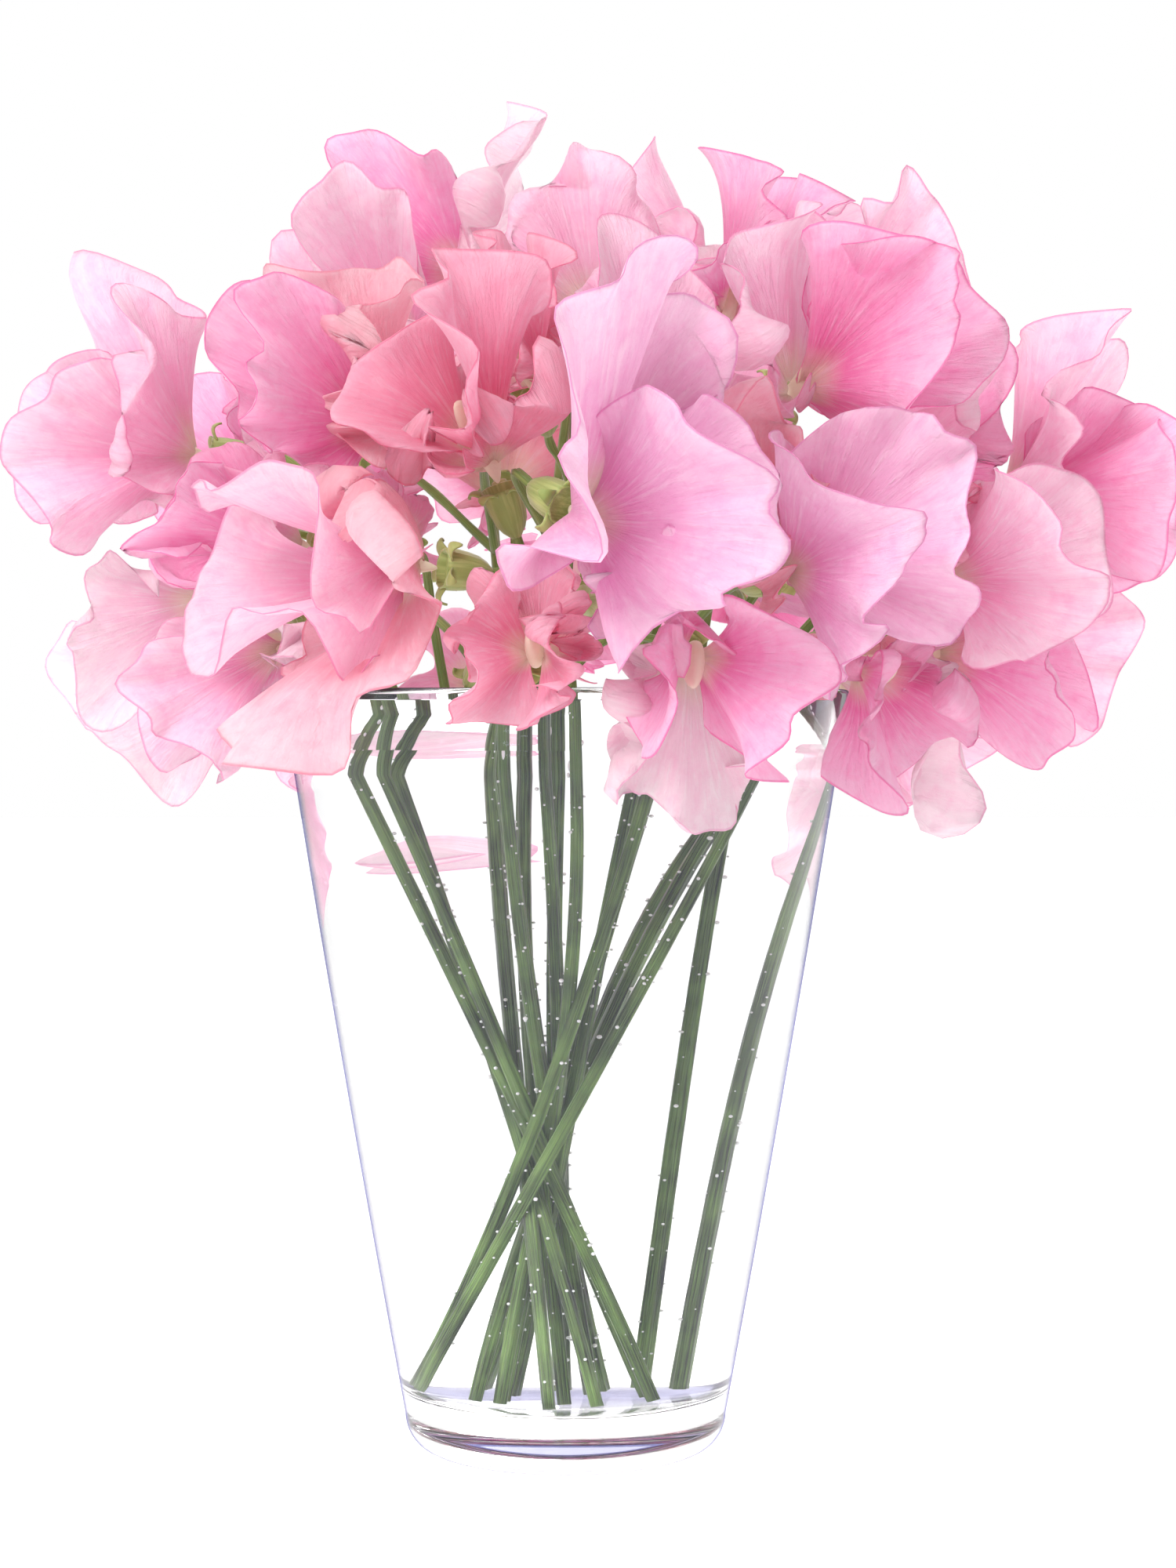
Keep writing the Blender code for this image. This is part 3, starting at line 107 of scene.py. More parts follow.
# Each bloom: spray, calyx mouth in millimetres, facing, up, size, form, tints of standard and wings
blooms = [
    (0, (-54, -24, 198), (-0.9, -0.4, 0.1), (0, -0.2, 1), 1.02, "half", "pink", "magenta"),
    (0, (-78, -8, 219), (-1, -0.22, 0), (0, -0.3, 1), 1.03, "folded", "pink", "pink"),
    (1, (-74, 6, 190), (-0.9, 0.1, -0.3), (-0.2, 0.1, 1), 1.05, "swept", "blush", "blush"),
    (1, (-62, 30, 210), (-0.65, 0.6, 0.35), (0.3, 0.1, 1), 1.1, "open", "magenta", "magenta"),
    (2, (-48, 58, 174), (-0.5, 0.78, -0.35), (0, 0.3, 1), 1.14, "hooded", "blush", "pink"),
    (2, (-70, 38, 179), (-0.85, 0.45, -0.25), (-0.1, 0.1, 1), 1.2, "swept", "blush", "blush"),
    (2, (-41, 57, 202), (-0.45, 0.85, 0.2), (0, -0.2, 1), 1.18, "open", "pink", "magenta"),
    (3, (-34, -40, 222), (-0.86, -0.45, 0.12), (0.2, -0.1, 1), 1.16, "half", "apricot", "magenta"),
    (3, (-31, 4, 240), (-0.6, -0.15, 0.65), (0.5, 0.1, 0.7), 1.09, "swept", "blush", "pink"),
    (4, (-44, 36, 226), (-0.5, 0.65, 0.5), (0.2, -0.4, 0.8), 1.1, "open", "pink", "magenta"),
    (4, (-17, 30, 262), (-0.85, -0.05, 0.3), (0.1, 0.1, 1), 1.1, "open", "blush", "magenta"),
    (5, (-6, -26, 231), (-0.2, -0.66, 0.68), (0.2, 0.2, 0.8), 0.84, "hooded", "coral", "coral"),
    (5, (6, 2, 250), (0.1, 0.92, 0.25), (-0.1, -0.2, 1), 1.12, "open", "pink", "coral"),
    (6, (17, -42, 223), (-0.42, -0.52, 0.74), (0.6, 0.3, 0.6), 1, "half", "lilac", "pink"),
    (6, (34, -6, 245), (0.3, -0.2, 0.92), (0, 0.8, 0.3), 0.96, "hooded", "pink", "magenta"),
    (7, (30, 62, 226), (0.25, 0.8, 0.5), (0, -0.4, 0.9), 1.18, "open", "pink", "pink"),
    (7, (36, 32, 252), (0.1, 0.5, 0.85), (0, -0.8, 0.5), 1.18, "swept", "blush", "pink"),
    (8, (66, -19, 213), (0.8, 0.32, 0.1), (0, 0, 1), 1.2, "open", "pink", "magenta"),
    (8, (56, 20, 246), (0.72, 0.1, 0.62), (-0.5, 0, 0.8), 1.02, "swept", "blush", "pink"),
    (9, (43, -55, 191), (0.52, -0.82, 0.12), (-0.35, -0.15, 1), 1.32, "hooded", "apricot", "lilac"),
    (9, (45, -45, 228), (0.74, -0.56, 0.3), (-0.3, -0.1, 1), 1.16, "hooded", "pink", "magenta"),
    (10, (84, 26, 182), (0.9, 0.38, -0.2), (0, 0.2, 1), 1.14, "open", "coral", "pink"),
    (10, (94, 4, 211), (0.95, -0.3, -0.12), (0.2, 0.2, 1), 1.05, "half", "pink", "magenta"),
    (11, (58, -38, 174), (0.62, -0.68, -0.38), (0.2, -0.4, 0.8), 0.96, "swept", "apricot", "magenta"),
    (11, (74, -17, 176), (0.95, -0.28, 0.05), (0.1, 0.3, -0.9), 1.07, "open", "blush", "magenta"),
    (11, (74, -40, 190), (0.85, -0.5, 0.1), (0, -0.2, 1), 0.96, "hooded", "coral", "pink"),
    (12, (24, -72, 175), (0.2, -0.96, -0.15), (-0.25, -0.1, -0.9), 0.98, "open", "blush", "magenta"),
    (12, (1, -82, 203), (0.62, -0.62, -0.4), (0.3, -0.2, 1), 1.34, "half", "lilac", "lilac"),
    (13, (-4, -70, 174), (-0.2, -0.95, 0.05), (0, -0.1, 1), 0.8, "open", "coral", "coral"),
    (13, (-13, -60, 209), (-0.3, -0.3, 0.9), (-0.5, -0.8, 0.1), 1.2, "half", "coral", "coral"),
    (14, (-56, -22, 180), (-0.8, -0.3, -0.5), (-0.3, -0.2, 0.8), 1, "open", "blush", "pink"),
    (14, (-25, -63, 192), (-0.92, -0.34, 0.1), (0.1, -0.75, -0.35), 1.36, "folded", "apricot", "pink"),
    (15, (-22, 72, 170), (-0.2, 0.72, -0.6), (0, 0.5, 0.7), 1.14, "swept", "pink", "blush"),
    (15, (4, 76, 190), (0.05, 1, -0.05), (0, -0.1, 1), 1.2, "open", "pink", "magenta"),
    (15, (-15, 59, 215), (-0.15, 0.9, 0.4), (0, -0.4, 0.9), 1.23, "hooded", "apricot", "pink"),
    (16, (40, 66, 194), (0.42, 0.88, 0.05), (0, -0.1, 1), 1.2, "swept", "lilac", "magenta"),
    (16, (66, 42, 204), (0.78, 0.6, 0.15), (0, -0.1, 1), 1.2, "folded", "pink", "pink"),
    (17, (28, 70, 169), (0.3, 0.8, -0.5), (0, 0.4, 0.8), 1.1, "open", "coral", "magenta"),
    (17, (62, 49, 172), (0.72, 0.62, -0.3), (0, 0.2, 1), 1.14, "half", "blush", "pink"),
]


def unit(vectors):
    vectors = np.asarray(vectors, float)
    return vectors / np.linalg.norm(vectors, axis=-1, keepdims=True)


def smoothThrough(angle, knots, values):
    # A smooth value at each angle, through the values at the knots
    knots = np.asarray(knots, float)
    values = np.asarray(values, float)
    slopes = np.gradient(values, knots)
    place = np.clip(np.searchsorted(knots, angle) - 1, 0, len(knots) - 2)
    width = knots[place + 1] - knots[place]
    part = (angle - knots[place]) / width
    rise = part * part * (3 - 2 * part)
    return (values[place] * (1 - rise) + values[place + 1] * rise
            + slopes[place] * width * part * (1 - part) ** 2
            - slopes[place + 1] * width * part * part * (1 - part))


def walk(length, turn, steps=14):
    # How far ahead and aside one gets along a curve whose heading at each distance is turn()
    headings = [turn(length * (step + 0.5) / steps) for step in range(steps)]
    return (sum(np.cos(heading) * length / steps for heading in headings),
            sum(np.sin(heading) * length / steps for heading in headings))


def normals(grid):
    way = np.cross(np.gradient(grid, axis=1), np.gradient(grid, axis=0))
    return way / np.maximum(np.linalg.norm(way, axis=-1, keepdims=True), 1e-12)


class Bloom:
    # One flower: where it sits, how it faces and the form of its petals
    def __init__(self, index, row):
        self.spray, mouth, facing, up, self.size, form, *self.tints = row
        draw = random.Random(seed + index)
        self.number = "%02d" % (index + 1)
        self.mouth = np.array(mouth) / 1000
        self.forward = unit(facing)
        self.up = unit(np.array(up) - np.dot(up, self.forward) * self.forward)
        self.side = np.cross(self.forward, self.up)
        self.middle = self.mouth + self.forward * petals["middle"] * self.size
        self.form = {key: math.radians(value + draw.uniform(-5, 5)) for key, value in forms[form].items()}
        self.phases = [draw.uniform(0, 2 * math.pi) for _ in range(12)]
        self.planes = []

    def place(self, forward, sideways, upward):
        # From the calyx's mouth
        return (self.mouth + np.multiply.outer(forward, self.forward)
                + np.multiply.outer(sideways, self.side) + np.multiply.outer(upward, self.up))

    def polar(self, angle, radius):
        # How far along and across its blade a point lies, and how far it has opened out of the claw
        radius = self.size * radius
        return radius * np.cos(angle), radius * np.sin(angle), 1 - np.exp(-radius / petals["clawRadius"])

    def standard(self, angle, part):
        # Points of the large upright petal, folded down its middle and rolled at its sides
        form = self.form
        reach = smoothThrough(np.abs(np.degrees(angle)), petals["standardAngles"], petals["standardReach"])
        notch = 1 - petals["notch"] * np.exp(-(angle / petals["notchWidth"]) ** 2)
        along, across, openOut = self.polar(angle, part * reach * notch)
        width = petals["standardWidth"] * self.size
        roll = np.where(across > 0, form["rollRight"], form["rollLeft"])

        def sideTurn(distance):
            edge = np.clip((distance / width - 0.5) / 0.5, 0, 1.2)
            return (form["crease"] * (1 - np.exp(-distance / (petals["creaseWidth"] * width)))
                    + form["cup"] * distance / width + roll * edge * edge)

        outward, lift = walk(np.abs(across), sideTurn)
        height = petals["standardHeight"] * self.size

        def backTurn(distance):
            return form["lean"] + math.radians(petals["clawLean"]) + form["reflex"] * distance / height

        ahead, rise = walk(along, backTurn)
        heading = backTurn(along)
        forward = petals["clawDepth"] + petals["trumpetDepth"] * openOut + ahead + lift * np.sin(heading)
        return self.place(forward, np.sign(across) * outward, rise - lift * np.cos(heading))

    def wing(self, angle, part, hand):
        # Points of the right wing, hand 1, or of the left one, hand -1
        form = self.form
        reach = smoothThrough(np.degrees(angle), petals["wingAngles"], petals["wingReach"])
        along, across, openOut = self.polar(angle, part * reach)
        length = petals["wingLength"] * self.size
        height = petals["wingHeight"] * self.size

        def yaw(distance):
            return form["spread"] + form["bow"] * distance / length

        ahead, outward = walk(along, yaw)
        heading = yaw(along)

        def tilt(distance):
            upper = 0.5 + 0.5 * np.tanh(distance / (0.3 * height))
            return form["flare"] * upper + form["curl"] * distance / height

        rise, lean = walk(across, tilt)
        forward = ahead - 0.3 * lean * np.sin(heading)
        sideways = outward + lean * np.cos(heading)
        dip = form["pitch"]
        ahead = (petals["wingRoot"] + petals["wingClaw"] * openOut
                 + forward * math.cos(dip) - rise * math.sin(dip))
        return self.place(ahead, hand * (petals["wingSide"] + petals["wingGap"] * openOut + sideways),
                          rise * math.cos(dip) + forward * math.sin(dip))

    def bodies(self):
        # Rods that stand for the calyx, its sepals and the flower's heart, the last one soft
        base = self.mouth - self.forward * calyxes["length"]
        star = self.mouth - self.forward * calyxes["sepalDrop"]
        heart = self.forward * room["heart"]
        gap = petals["gap"]
        return [(base, self.mouth - self.forward * gap, calyxes["radius"] + gap, self, False),
                (star, star + self.forward * gap, calyxes["sepalReach"] + gap, self, False),
                (self.middle - heart, self.middle + heart, room["core"], self, True)]

    def folds(self, angle, phases, count):
        # Crisp folds that run out from the claw, as a number from -1 to 1
        crisp = petals["crispness"]
        turn = 0.95 * count * angle + phases[1] + 0.7 * np.sin(1.7 * angle + phases[2])
        return np.arcsin(crisp * np.sin(turn)) / math.asin(crisp)

    def lobes(self, angle, part, phases, count):
        # The margin comes to a corner at each fold and swings in between
        bays = (petals["lobe"] * (1 - self.folds(angle, phases, count) ** 2)
                + petals["smallLobe"] * (1 + np.sin(7.3 * angle + phases[1])))
        return part * (1 - bays * part ** 1.5)

    def waves(self, angle, part, phases, count):
        # The folds, and the long slow waves of the blade
        first, _, third = phases
        pleat = self.folds(angle, phases, count) * part ** 1.25
        longWave = np.sin(1.9 * count * angle + first) * part ** 3
        swell = np.sin(1.3 * angle + third) * np.sin(2.6 * part + first) * part
        return self.size * (petals["pleat"] * pleat + petals["longWave"] * longWave
                            + petals["swell"] * swell)

    def surfaces(self):
        # The three blades: angles, surface, wave phases and count, and which tint they take
        top = math.radians(petals["standardAngles"][-1])
        low = math.radians(petals["wingAngles"][0])
        high = math.radians(petals["wingAngles"][-1])
        yield (-top, top), self.standard, self.phases[0:3], petals["standardWaves"], 0
        for hand in (1, -1):
            yield ((low, high), lambda a, p, h=hand: self.wing(a, p, h),
                   self.phases[4 + hand:7 + hand], petals["wingWaves"], 1)

    def cloud(self):
        # A few points of all the petals
        found = []
        for span, surface, _, _, _ in self.surfaces():
            angle, part = np.meshgrid(np.linspace(*span, 9), (0.3, 0.55, 0.8, 1.0))
            found.append(surface(angle.ravel(), part.ravel()))
        return self.aheadOfCalyx(np.vstack(found))

    def aheadOfCalyx(self, points):
        # Points that lie too near the calyx moved gently forward
        least = petals["gap"] + petals["cadThickness"] / 2 + 0.0001
        ease = 0.0015
        ahead = (points - self.mouth) @ self.forward
        low = ahead < least + ease
        eased = least + ease * np.exp((np.minimum(ahead, least + ease) - least - ease) / ease)
        return points + np.multiply.outer(np.where(low, eased - ahead, 0), self.forward)

    def held(self, points, spare, knee):
        # Points drawn towards the flower's middle, so that all stay in the room it has
        ways = np.array([way for way, _ in self.planes])
        reaches = np.maximum([reach - spare for _, reach in self.planes], room["smallest"])
        offset = points - self.middle
        nearness = np.maximum(offset @ ways.T / reaches, 0)
        power = room["squareness"]
        used = (nearness ** power).sum(axis=-1) ** (1 / power)
        rest = 1 - knee
        eased = knee + rest * (1 - np.exp(-(np.maximum(used, knee) - knee) / rest))
        scale = np.where(used > knee, eased / np.maximum(used, 1e-9), 1)
        return self.middle + offset * scale[..., None]

    def ruffles(self, angle, part, phases):
        # The fine crimps of the margin, strong in some stretches and nearly gone in others
        first, second, third = phases
        crowd = 0.55 + 0.45 * np.sin(2.3 * angle + third)
        other = 0.55 + 0.45 * np.sin(3.7 * angle + second)
        sway = 2 * second + 1.4 * np.sin(2.1 * angle + first)
        fine = np.sin(ruffle["fineCount"] * angle + sway) * part ** 4
        finest = np.sin(ruffle["finestCount"] * angle + 3 * first + 2 * np.sin(5 * angle)) * part ** 9
        return self.size * (ruffle["fine"] * crowd * fine + ruffle["finest"] * other * finest
                            + ruffle["lip"] * part ** 14 * np.sin(3.1 * angle + second))

    def blade(self, surface, angle, part, phases, count):
        # A grid of points, its hard creases eased before the waves are laid on
        inner = self.lobes(angle, part, phases, count)
        plain = self.aheadOfCalyx(surface(angle.ravel(), inner.ravel()))
        fitted = self.held(plain, room["waves"], room["knee"]).reshape(*angle.shape, 3)
        base = softened(fitted, ruffle["passes"])
        swing = self.waves(angle, part, phases, count) + self.ruffles(angle, part, phases)
        waved = self.aheadOfCalyx((base + normals(base) * swing[..., None]).reshape(-1, 3))
        return softened(self.held(waved, 0, room["lastKnee"]).reshape(base.shape), 1)


def softened(grid, passes):
    # Each point drawn to the middle of its neighbours, which is in the same room as they are
    grid = grid.copy()
    for _ in range(passes):
        middle = (grid[:-2, 1:-1] + grid[2:, 1:-1] + grid[1:-1, :-2] + grid[1:-1, 2:]) / 4
        margin = (grid[-1, :-2] + grid[-1, 2:]) / 2
        grid[1:-1, 1:-1] = (grid[1:-1, 1:-1] + middle) / 2
        grid[-1, 1:-1] = (grid[-1, 1:-1] + margin) / 2
    return grid


def partingPlane(one, other):
    # The plane that best parts two flowers, as its normal and place
    first, second = one.cloud(), other.cloud()
    spread = np.cov(first.T) + np.cov(second.T) + np.eye(3) * room["spread"]
    normal = unit(np.linalg.solve(spread, second.mean(axis=0) - first.mean(axis=0)))
    between = other.middle - one.middle
    apart = np.linalg.norm(between)
    while normal @ between < room["along"] * apart:
        normal = unit(normal + room["turn"] * between / apart)
    low, high = one.middle @ normal, other.middle @ normal
    first, second = first @ normal, second @ normal
    place = first.mean() + (second.mean() - first.mean()) * first.std() / (first.std() + second.std())
    keep = room["leastShare"] * (high - low)
    floor = max(low + keep, one.mouth @ normal + room["claw"])
    ceiling = min(high - keep, other.mouth @ normal - room["claw"])
    if floor > ceiling:
        return normal, (floor + ceiling) / 2
    return normal, min(max(place, floor), ceiling)


def outerRadius(height):
    # The vase's wall: nearly straight, with a slight belly
    part = (height - vase["heelHeight"]) / (vase["height"] - vase["heelHeight"])
    return (vase["heelRadius"] + (vase["mouthRadius"] - vase["heelRadius"]) * part
            + 4 * vase["bellySwell"] * part * (1 - part))


def innerRadius(height):
    return outerRadius(height) - vase["wall"]


def hermite(start, startWay, end, endWay, parts):
    # Points on the curve that leaves start along startWay and comes to end along endWay
    part = np.asarray(parts, float)[:, None]
    square, cube = part ** 2, part ** 3
    return ((2 * cube - 3 * square + 1) * start + (cube - 2 * square + part) * startWay
            + (3 * square - 2 * cube) * end + (cube - square) * endWay)


def nearest(a, b, c, d):
    # For runs a-b and c-d: parts along each of their nearest points, the way and the distance
    first, second, across = b - a, d - c, a - c
    aa = np.maximum((first * first).sum(1), 1e-12)
    ee = np.maximum((second * second).sum(1), 1e-12)
    bb = (first * second).sum(1)
    cc = (first * across).sum(1)
    ff = (second * across).sum(1)
    s = np.clip((bb * ff - cc * ee) / np.maximum(aa * ee - bb * bb, 1e-14), 0, 1)
    t = np.clip((bb * s + ff) / ee, 0, 1)
    s = np.clip((bb * t - cc) / aa, 0, 1)
    way = (c + second * t[:, None]) - (a + first * s[:, None])
    distance = np.maximum(np.linalg.norm(way, axis=1), 1e-7)
    return s[:, None], t[:, None], way / distance[:, None], distance


class Net:
    # Every stem and pedicel as points and the runs between them, so that they can be spread
    def __init__(self, flowers):
        self.points, self.fixed, self.runs, self.stems, self.pedicels = [], [], [], [], []
        for spray, (foot, mouth) in enumerate(sprays):
            self.addSpray(spray, foot, mouth, [b for b in flowers if b.spray == spray])
        self.points = np.array(self.points)
        self.start = self.points.copy()

    def addLine(self, start, points, end, back, radius, bloom):
        # Points that run on from start and, by two fixed ones, straight into a bloom's calyx
        points = [point for point in points if np.linalg.norm(point - end) > 2 * back]
        first = len(self.points)
        self.points += points + [end - bloom.forward * back, end + bloom.forward * stems["sunk"]]
        self.fixed += [False] * len(points) + [True, True]
        line = start + list(range(first, len(self.points)))
        self.runs += [(first, second, bloom.spray, radius, bloom) for first, second in zip(line, line[1:])]
        return line

    def addSpray(self, spray, foot, mouth, flowers):
        # A stem that ends in its top flower's calyx, and a pedicel for each lower flower
        draw = random.Random(seed * 7 + spray)
        foot = np.array((foot[0] / 1000, foot[1] / 1000, vase["floor"] + 2 * petals["gap"]))
        rim = np.array((mouth[0] / 1000, mouth[1] / 1000, stems["crossing"]))
        top = flowers[-1]
        end = top.mouth - top.forward * calyxes["length"]
        rise, reach = np.linalg.norm(rim - foot), np.linalg.norm(end - rim)
        way = unit(unit(rim - foot) + stems["early"] * unit(end - rim))
        sway = stems["sway"]
        lowerWay = unit(rim - foot) + np.array((draw.uniform(-sway, sway), draw.uniform(-sway, sway), 0))
        lower = hermite(foot, lowerWay * rise, rim, way * rise, stems["lower"])
        upper = hermite(rim, way * reach, end, top.forward * reach * stems["lead"], stems["neck"])
        stem = self.addLine([], [*lower, *upper], end, stems["stemEnd"], stems["radius"], top)
        self.stems.append(stem)
        first = stems["firstNode"]
        for bloom in flowers[:-1]:
            end = bloom.mouth - bloom.forward * calyxes["length"]
            aim = end - bloom.forward * 3 * stems["pedicelEnd"] - np.array((0, 0, stems["pedicelEnd"]))
            gaps = [np.linalg.norm(self.points[place] - aim) for place in stem[first:-2]]
            leave = stem[first + int(np.argmin(gaps))]
            root = self.points[leave]
            reach = np.linalg.norm(end - root)
            after = stem[stem.index(leave) + 1]
            way = unit(unit(self.points[after] - root) + unit(end - root))
            middle = hermite(root, way * reach, end, bloom.forward * reach, stems["pedicel"])
            line = self.addLine([leave], middle, end, stems["pedicelEnd"], stems["pedicelRadius"], bloom)
            self.pedicels.append((spray, line))

    def spread(self, flowers):
        # Moves free points until no run comes near another spray, a calyx, a flower or the glass
        heads, tails, owner, thick = (np.array([run[which] for run in self.runs]) for which in range(4))
        free = np.where(self.fixed, 0.0, 1.0)[:, None]
        one, two = np.triu_indices(len(self.runs), 1)
        apart = owner[one] != owner[two]
        one, two = one[apart], two[apart]
        solids = [body for bloom in flowers for body in bloom.bodies()]
        guard = [(run, body) for run in range(len(self.runs)) for body in range(len(solids))
                 if solids[body][3] is not self.runs[run][4]
                 and (solids[body][4] or solids[body][3].spray != owner[run])]
        guarded = np.array([run for run, _ in guard])
        fromPoints, toPoints, bodySize = (
            np.array([solids[body][which] for _, body in guard]) for which in range(3))

        def shove(push, runs, part, step):
            np.add.at(push, heads[runs], (1 - part) * step)
            np.add.at(push, tails[runs], part * step)

        for turn in range(stems["rounds"]):
            points = self.points
            push = np.zeros_like(points)
            s, t, way, distance = nearest(points[heads[one]], points[tails[one]],
                                          points[heads[two]], points[tails[two]])
            short = np.maximum(thick[one] + thick[two] + stems["clearance"] - distance, 0)[:, None]
            shove(push, one, s, -stems["push"] * short * way)
            shove(push, two, t, stems["push"] * short * way)
            s, _, way, distance = nearest(points[heads[guarded]], points[tails[guarded]],
                                          fromPoints, toPoints)
            short = np.maximum(thick[guarded] + bodySize + stems["bloomClearance"] - distance, 0)[:, None]
            shove(push, guarded, s, -stems["bodyPush"] * short * way)
            points += free * push
            if turn < stems["settled"] * stems["rounds"]:
                self.ease()
            self.stayInGlass(free)

    def ease(self):
        # A point follows its neighbours' moves a little, so that no stem gets a kink
        shift = self.points - self.start
        for stem in self.stems:
            for before, here, after in zip(stem, stem[1:], stem[2:]):
                if not self.fixed[here]:
                    mean = (shift[before] + shift[after]) / 2
                    self.points[here] += stems["following"] * (mean - shift[here])

    def stayInGlass(self, free):
        # Free points brought back inside the glass, and the cut ends to their level
        points = self.points
        radius = np.linalg.norm(points[:, :2], axis=1)
        height = points[:, 2]
        limit = np.minimum(innerRadius(height) - stems["radius"] - stems["glassClearance"],
                           vase["mouthRadius"] - stems["mouthClearance"])
        onFloor = innerRadius(vase["floor"]) - vase["fillet"] - stems["holeRadius"]
        limit = np.where(height < vase["floor"] + 2 * vase["fillet"], onFloor, limit)
        outside = (height < vase["height"] + stems["stemEnd"]) & (radius > limit) & (free[:, 0] > 0)
        points[outside, :2] *= (limit[outside] / radius[outside])[:, None]
        for stem in self.stems:
            points[stem[0], 2] = stems["footLevel"]


def nearestOnVase(place):
    # The point of the vase's wall or mouth that is nearest to a place outside it
    radius = math.hypot(place[0], place[1])
    if radius < vase["mouthRadius"] and place[2] > vase["height"]:
        return np.array((place[0], place[1], vase["height"]))
    slope = np.array((vase["mouthRadius"] - vase["heelRadius"], vase["height"]))
    fromFoot = np.array((radius - vase["heelRadius"] - 4 * vase["bellySwell"], place[2]))
    part = min(max(fromFoot @ slope / (slope @ slope), 0), 1)
    wall = vase["heelRadius"] + (vase["mouthRadius"] - vase["heelRadius"]) * part
    return np.array((place[0] / radius * wall, place[1] / radius * wall, vase["height"] * part))


def giveRoom(flowers, net):
    # Gives each flower the planes that part it from its neighbours, the stems and the vase
    for first, one in enumerate(flowers):
        for other in flowers[first + 1:]:
            if np.linalg.norm(one.middle - other.middle) > room["neighbour"]:
                continue
            normal, place = partingPlane(one, other)
            one.planes.append((normal, place - one.middle @ normal - room["margin"]))
            other.planes.append((-normal, other.middle @ normal - place - room["margin"]))
    for bloom in flowers:
        solids = [(net.points[run[0]], net.points[run[1]], run[3]) for run in net.runs]
        solids += [body[:3] for other in flowers for body in other.bodies()
                   if other is not bloom and not body[4]]
        for start, end, thick in solids:
            part = np.clip((bloom.middle - start) @ (end - start) / ((end - start) @ (end - start)), 0, 1)
            near = start + part * (end - start)
            behind = max((start - bloom.mouth) @ bloom.forward, (end - bloom.mouth) @ bloom.forward)
            reach = np.linalg.norm(near - bloom.middle)
            if behind + thick > 0 and reach < room["neighbour"]:
                bloom.planes.append(((near - bloom.middle) / reach, reach - thick - room["margin"]))
        near = nearestOnVase(bloom.middle)
        reach = np.linalg.norm(near - bloom.middle)
        bloom.planes.append(((near - bloom.middle) / reach, reach - room["margin"]))


flowers = [Bloom(index, row) for index, row in enumerate(blooms)]
net = Net(flowers)
net.spread(flowers)
giveRoom(flowers, net)
print("flowers and stems laid out")


def placed(name, data):
    thing = bpy.data.objects.new(name, data)
    bpy.context.scene.collection.objects.link(thing)
    return thing


class Parts:
    # Solids gathered into one piece, with what the materials read at each vertex
    def __init__(self):
        self.points, self.faces, self.slots, self.values = [], [], [], {}
        self.count = 0

    def add(self, points, faces, slot=0, **values):
        points = np.asarray(points, float).reshape(-1, 3)
        self.points.append(points)
        faces = facingOut(points - points.mean(axis=0), faces)
        self.faces += [tuple(int(v) + self.count for v in face) for face in faces]
        self.slots += [slot] * len(faces)
        for name, value in values.items():
            value = np.broadcast_to(np.asarray(value, float), (len(points), 3))
            self.values.setdefault(name, []).append(value)
        self.count += len(points)

    def piece(self, name, materials):
        mesh = bpy.data.meshes.new(name)
        mesh.from_pydata(np.vstack(self.points).tolist(), [], self.faces)
        for material in materials:
            mesh.materials.append(material)
        mesh.polygons.foreach_set("material_index", self.slots)
        mesh.polygons.foreach_set("use_smooth", [True] * len(mesh.polygons))
        for key, found in self.values.items():
            data = mesh.attributes.new(key, "FLOAT_VECTOR", "POINT").data
            data.foreach_set("vector", np.vstack(found).ravel())
        mesh.validate()
        mesh.update()
        return placed(name, mesh)


def facingOut(points, faces):
    # The faces of a closed solid, turned about if they face inwards
    fans = np.array([(face[0], face[step], face[step + 1])
                     for face in faces for step in range(1, len(face) - 1)])
    first, second, third = points[fans.T]
    return [face[::-1] for face in faces] if (first * np.cross(second, third)).sum() < 0 else faces


def shell(points, halfThickness):
    # A closed thin blade round a grid of points: two faces and the rim that joins them
    rows, columns = points.shape[:2]
    step = normals(points) * np.broadcast_to(halfThickness, (rows, columns))[..., None]
    total = rows * columns
    index = np.arange(total).reshape(rows, columns)
    a, b = index[:-1, :-1].ravel(), index[:-1, 1:].ravel()
    c, d = index[1:, 1:].ravel(), index[1:, :-1].ravel()
    faces = list(zip(a, b, c, d)) + list(zip(a + total, d + total, c + total, b + total))
    rim = [*index[0], *index[1:, -1], *index[-1, -2::-1], *index[-2:0:-1, 0]]
    faces += [(after, here, here + total, after + total) for here, after in zip(rim, rim[1:] + rim[:1])]
    return np.vstack([(points + step).reshape(-1, 3), (points - step).reshape(-1, 3)]), faces


def around(sides):
    return 2 * math.pi * np.arange(sides) / sides


def ringFaces(sides, rings):
    # Faces over points in this order: a first pole, the rings and a last pole
    faces = []
    last = 1 + (rings - 1) * sides
    for step in range(sides):
        after = (step + 1) % sides
        faces += [(0, 1 + after, 1 + step), (last + sides, last + step, last + after)]
        faces += [(low + step, low + after, low + sides + after, low + sides + step)
                  for low in range(1, last, sides)]
    return faces


def globe(rings, sides):
    # A ball of radius 1, from pole to pole
    tilts = math.pi * np.arange(1, rings) / rings
    points = [(math.sin(tilt) * math.cos(turn), math.sin(tilt) * math.sin(turn), math.cos(tilt))
              for tilt in tilts for turn in around(sides)]
    return np.array([(0, 0, 1)] + points + [(0, 0, -1)]), ringFaces(sides, rings - 1)


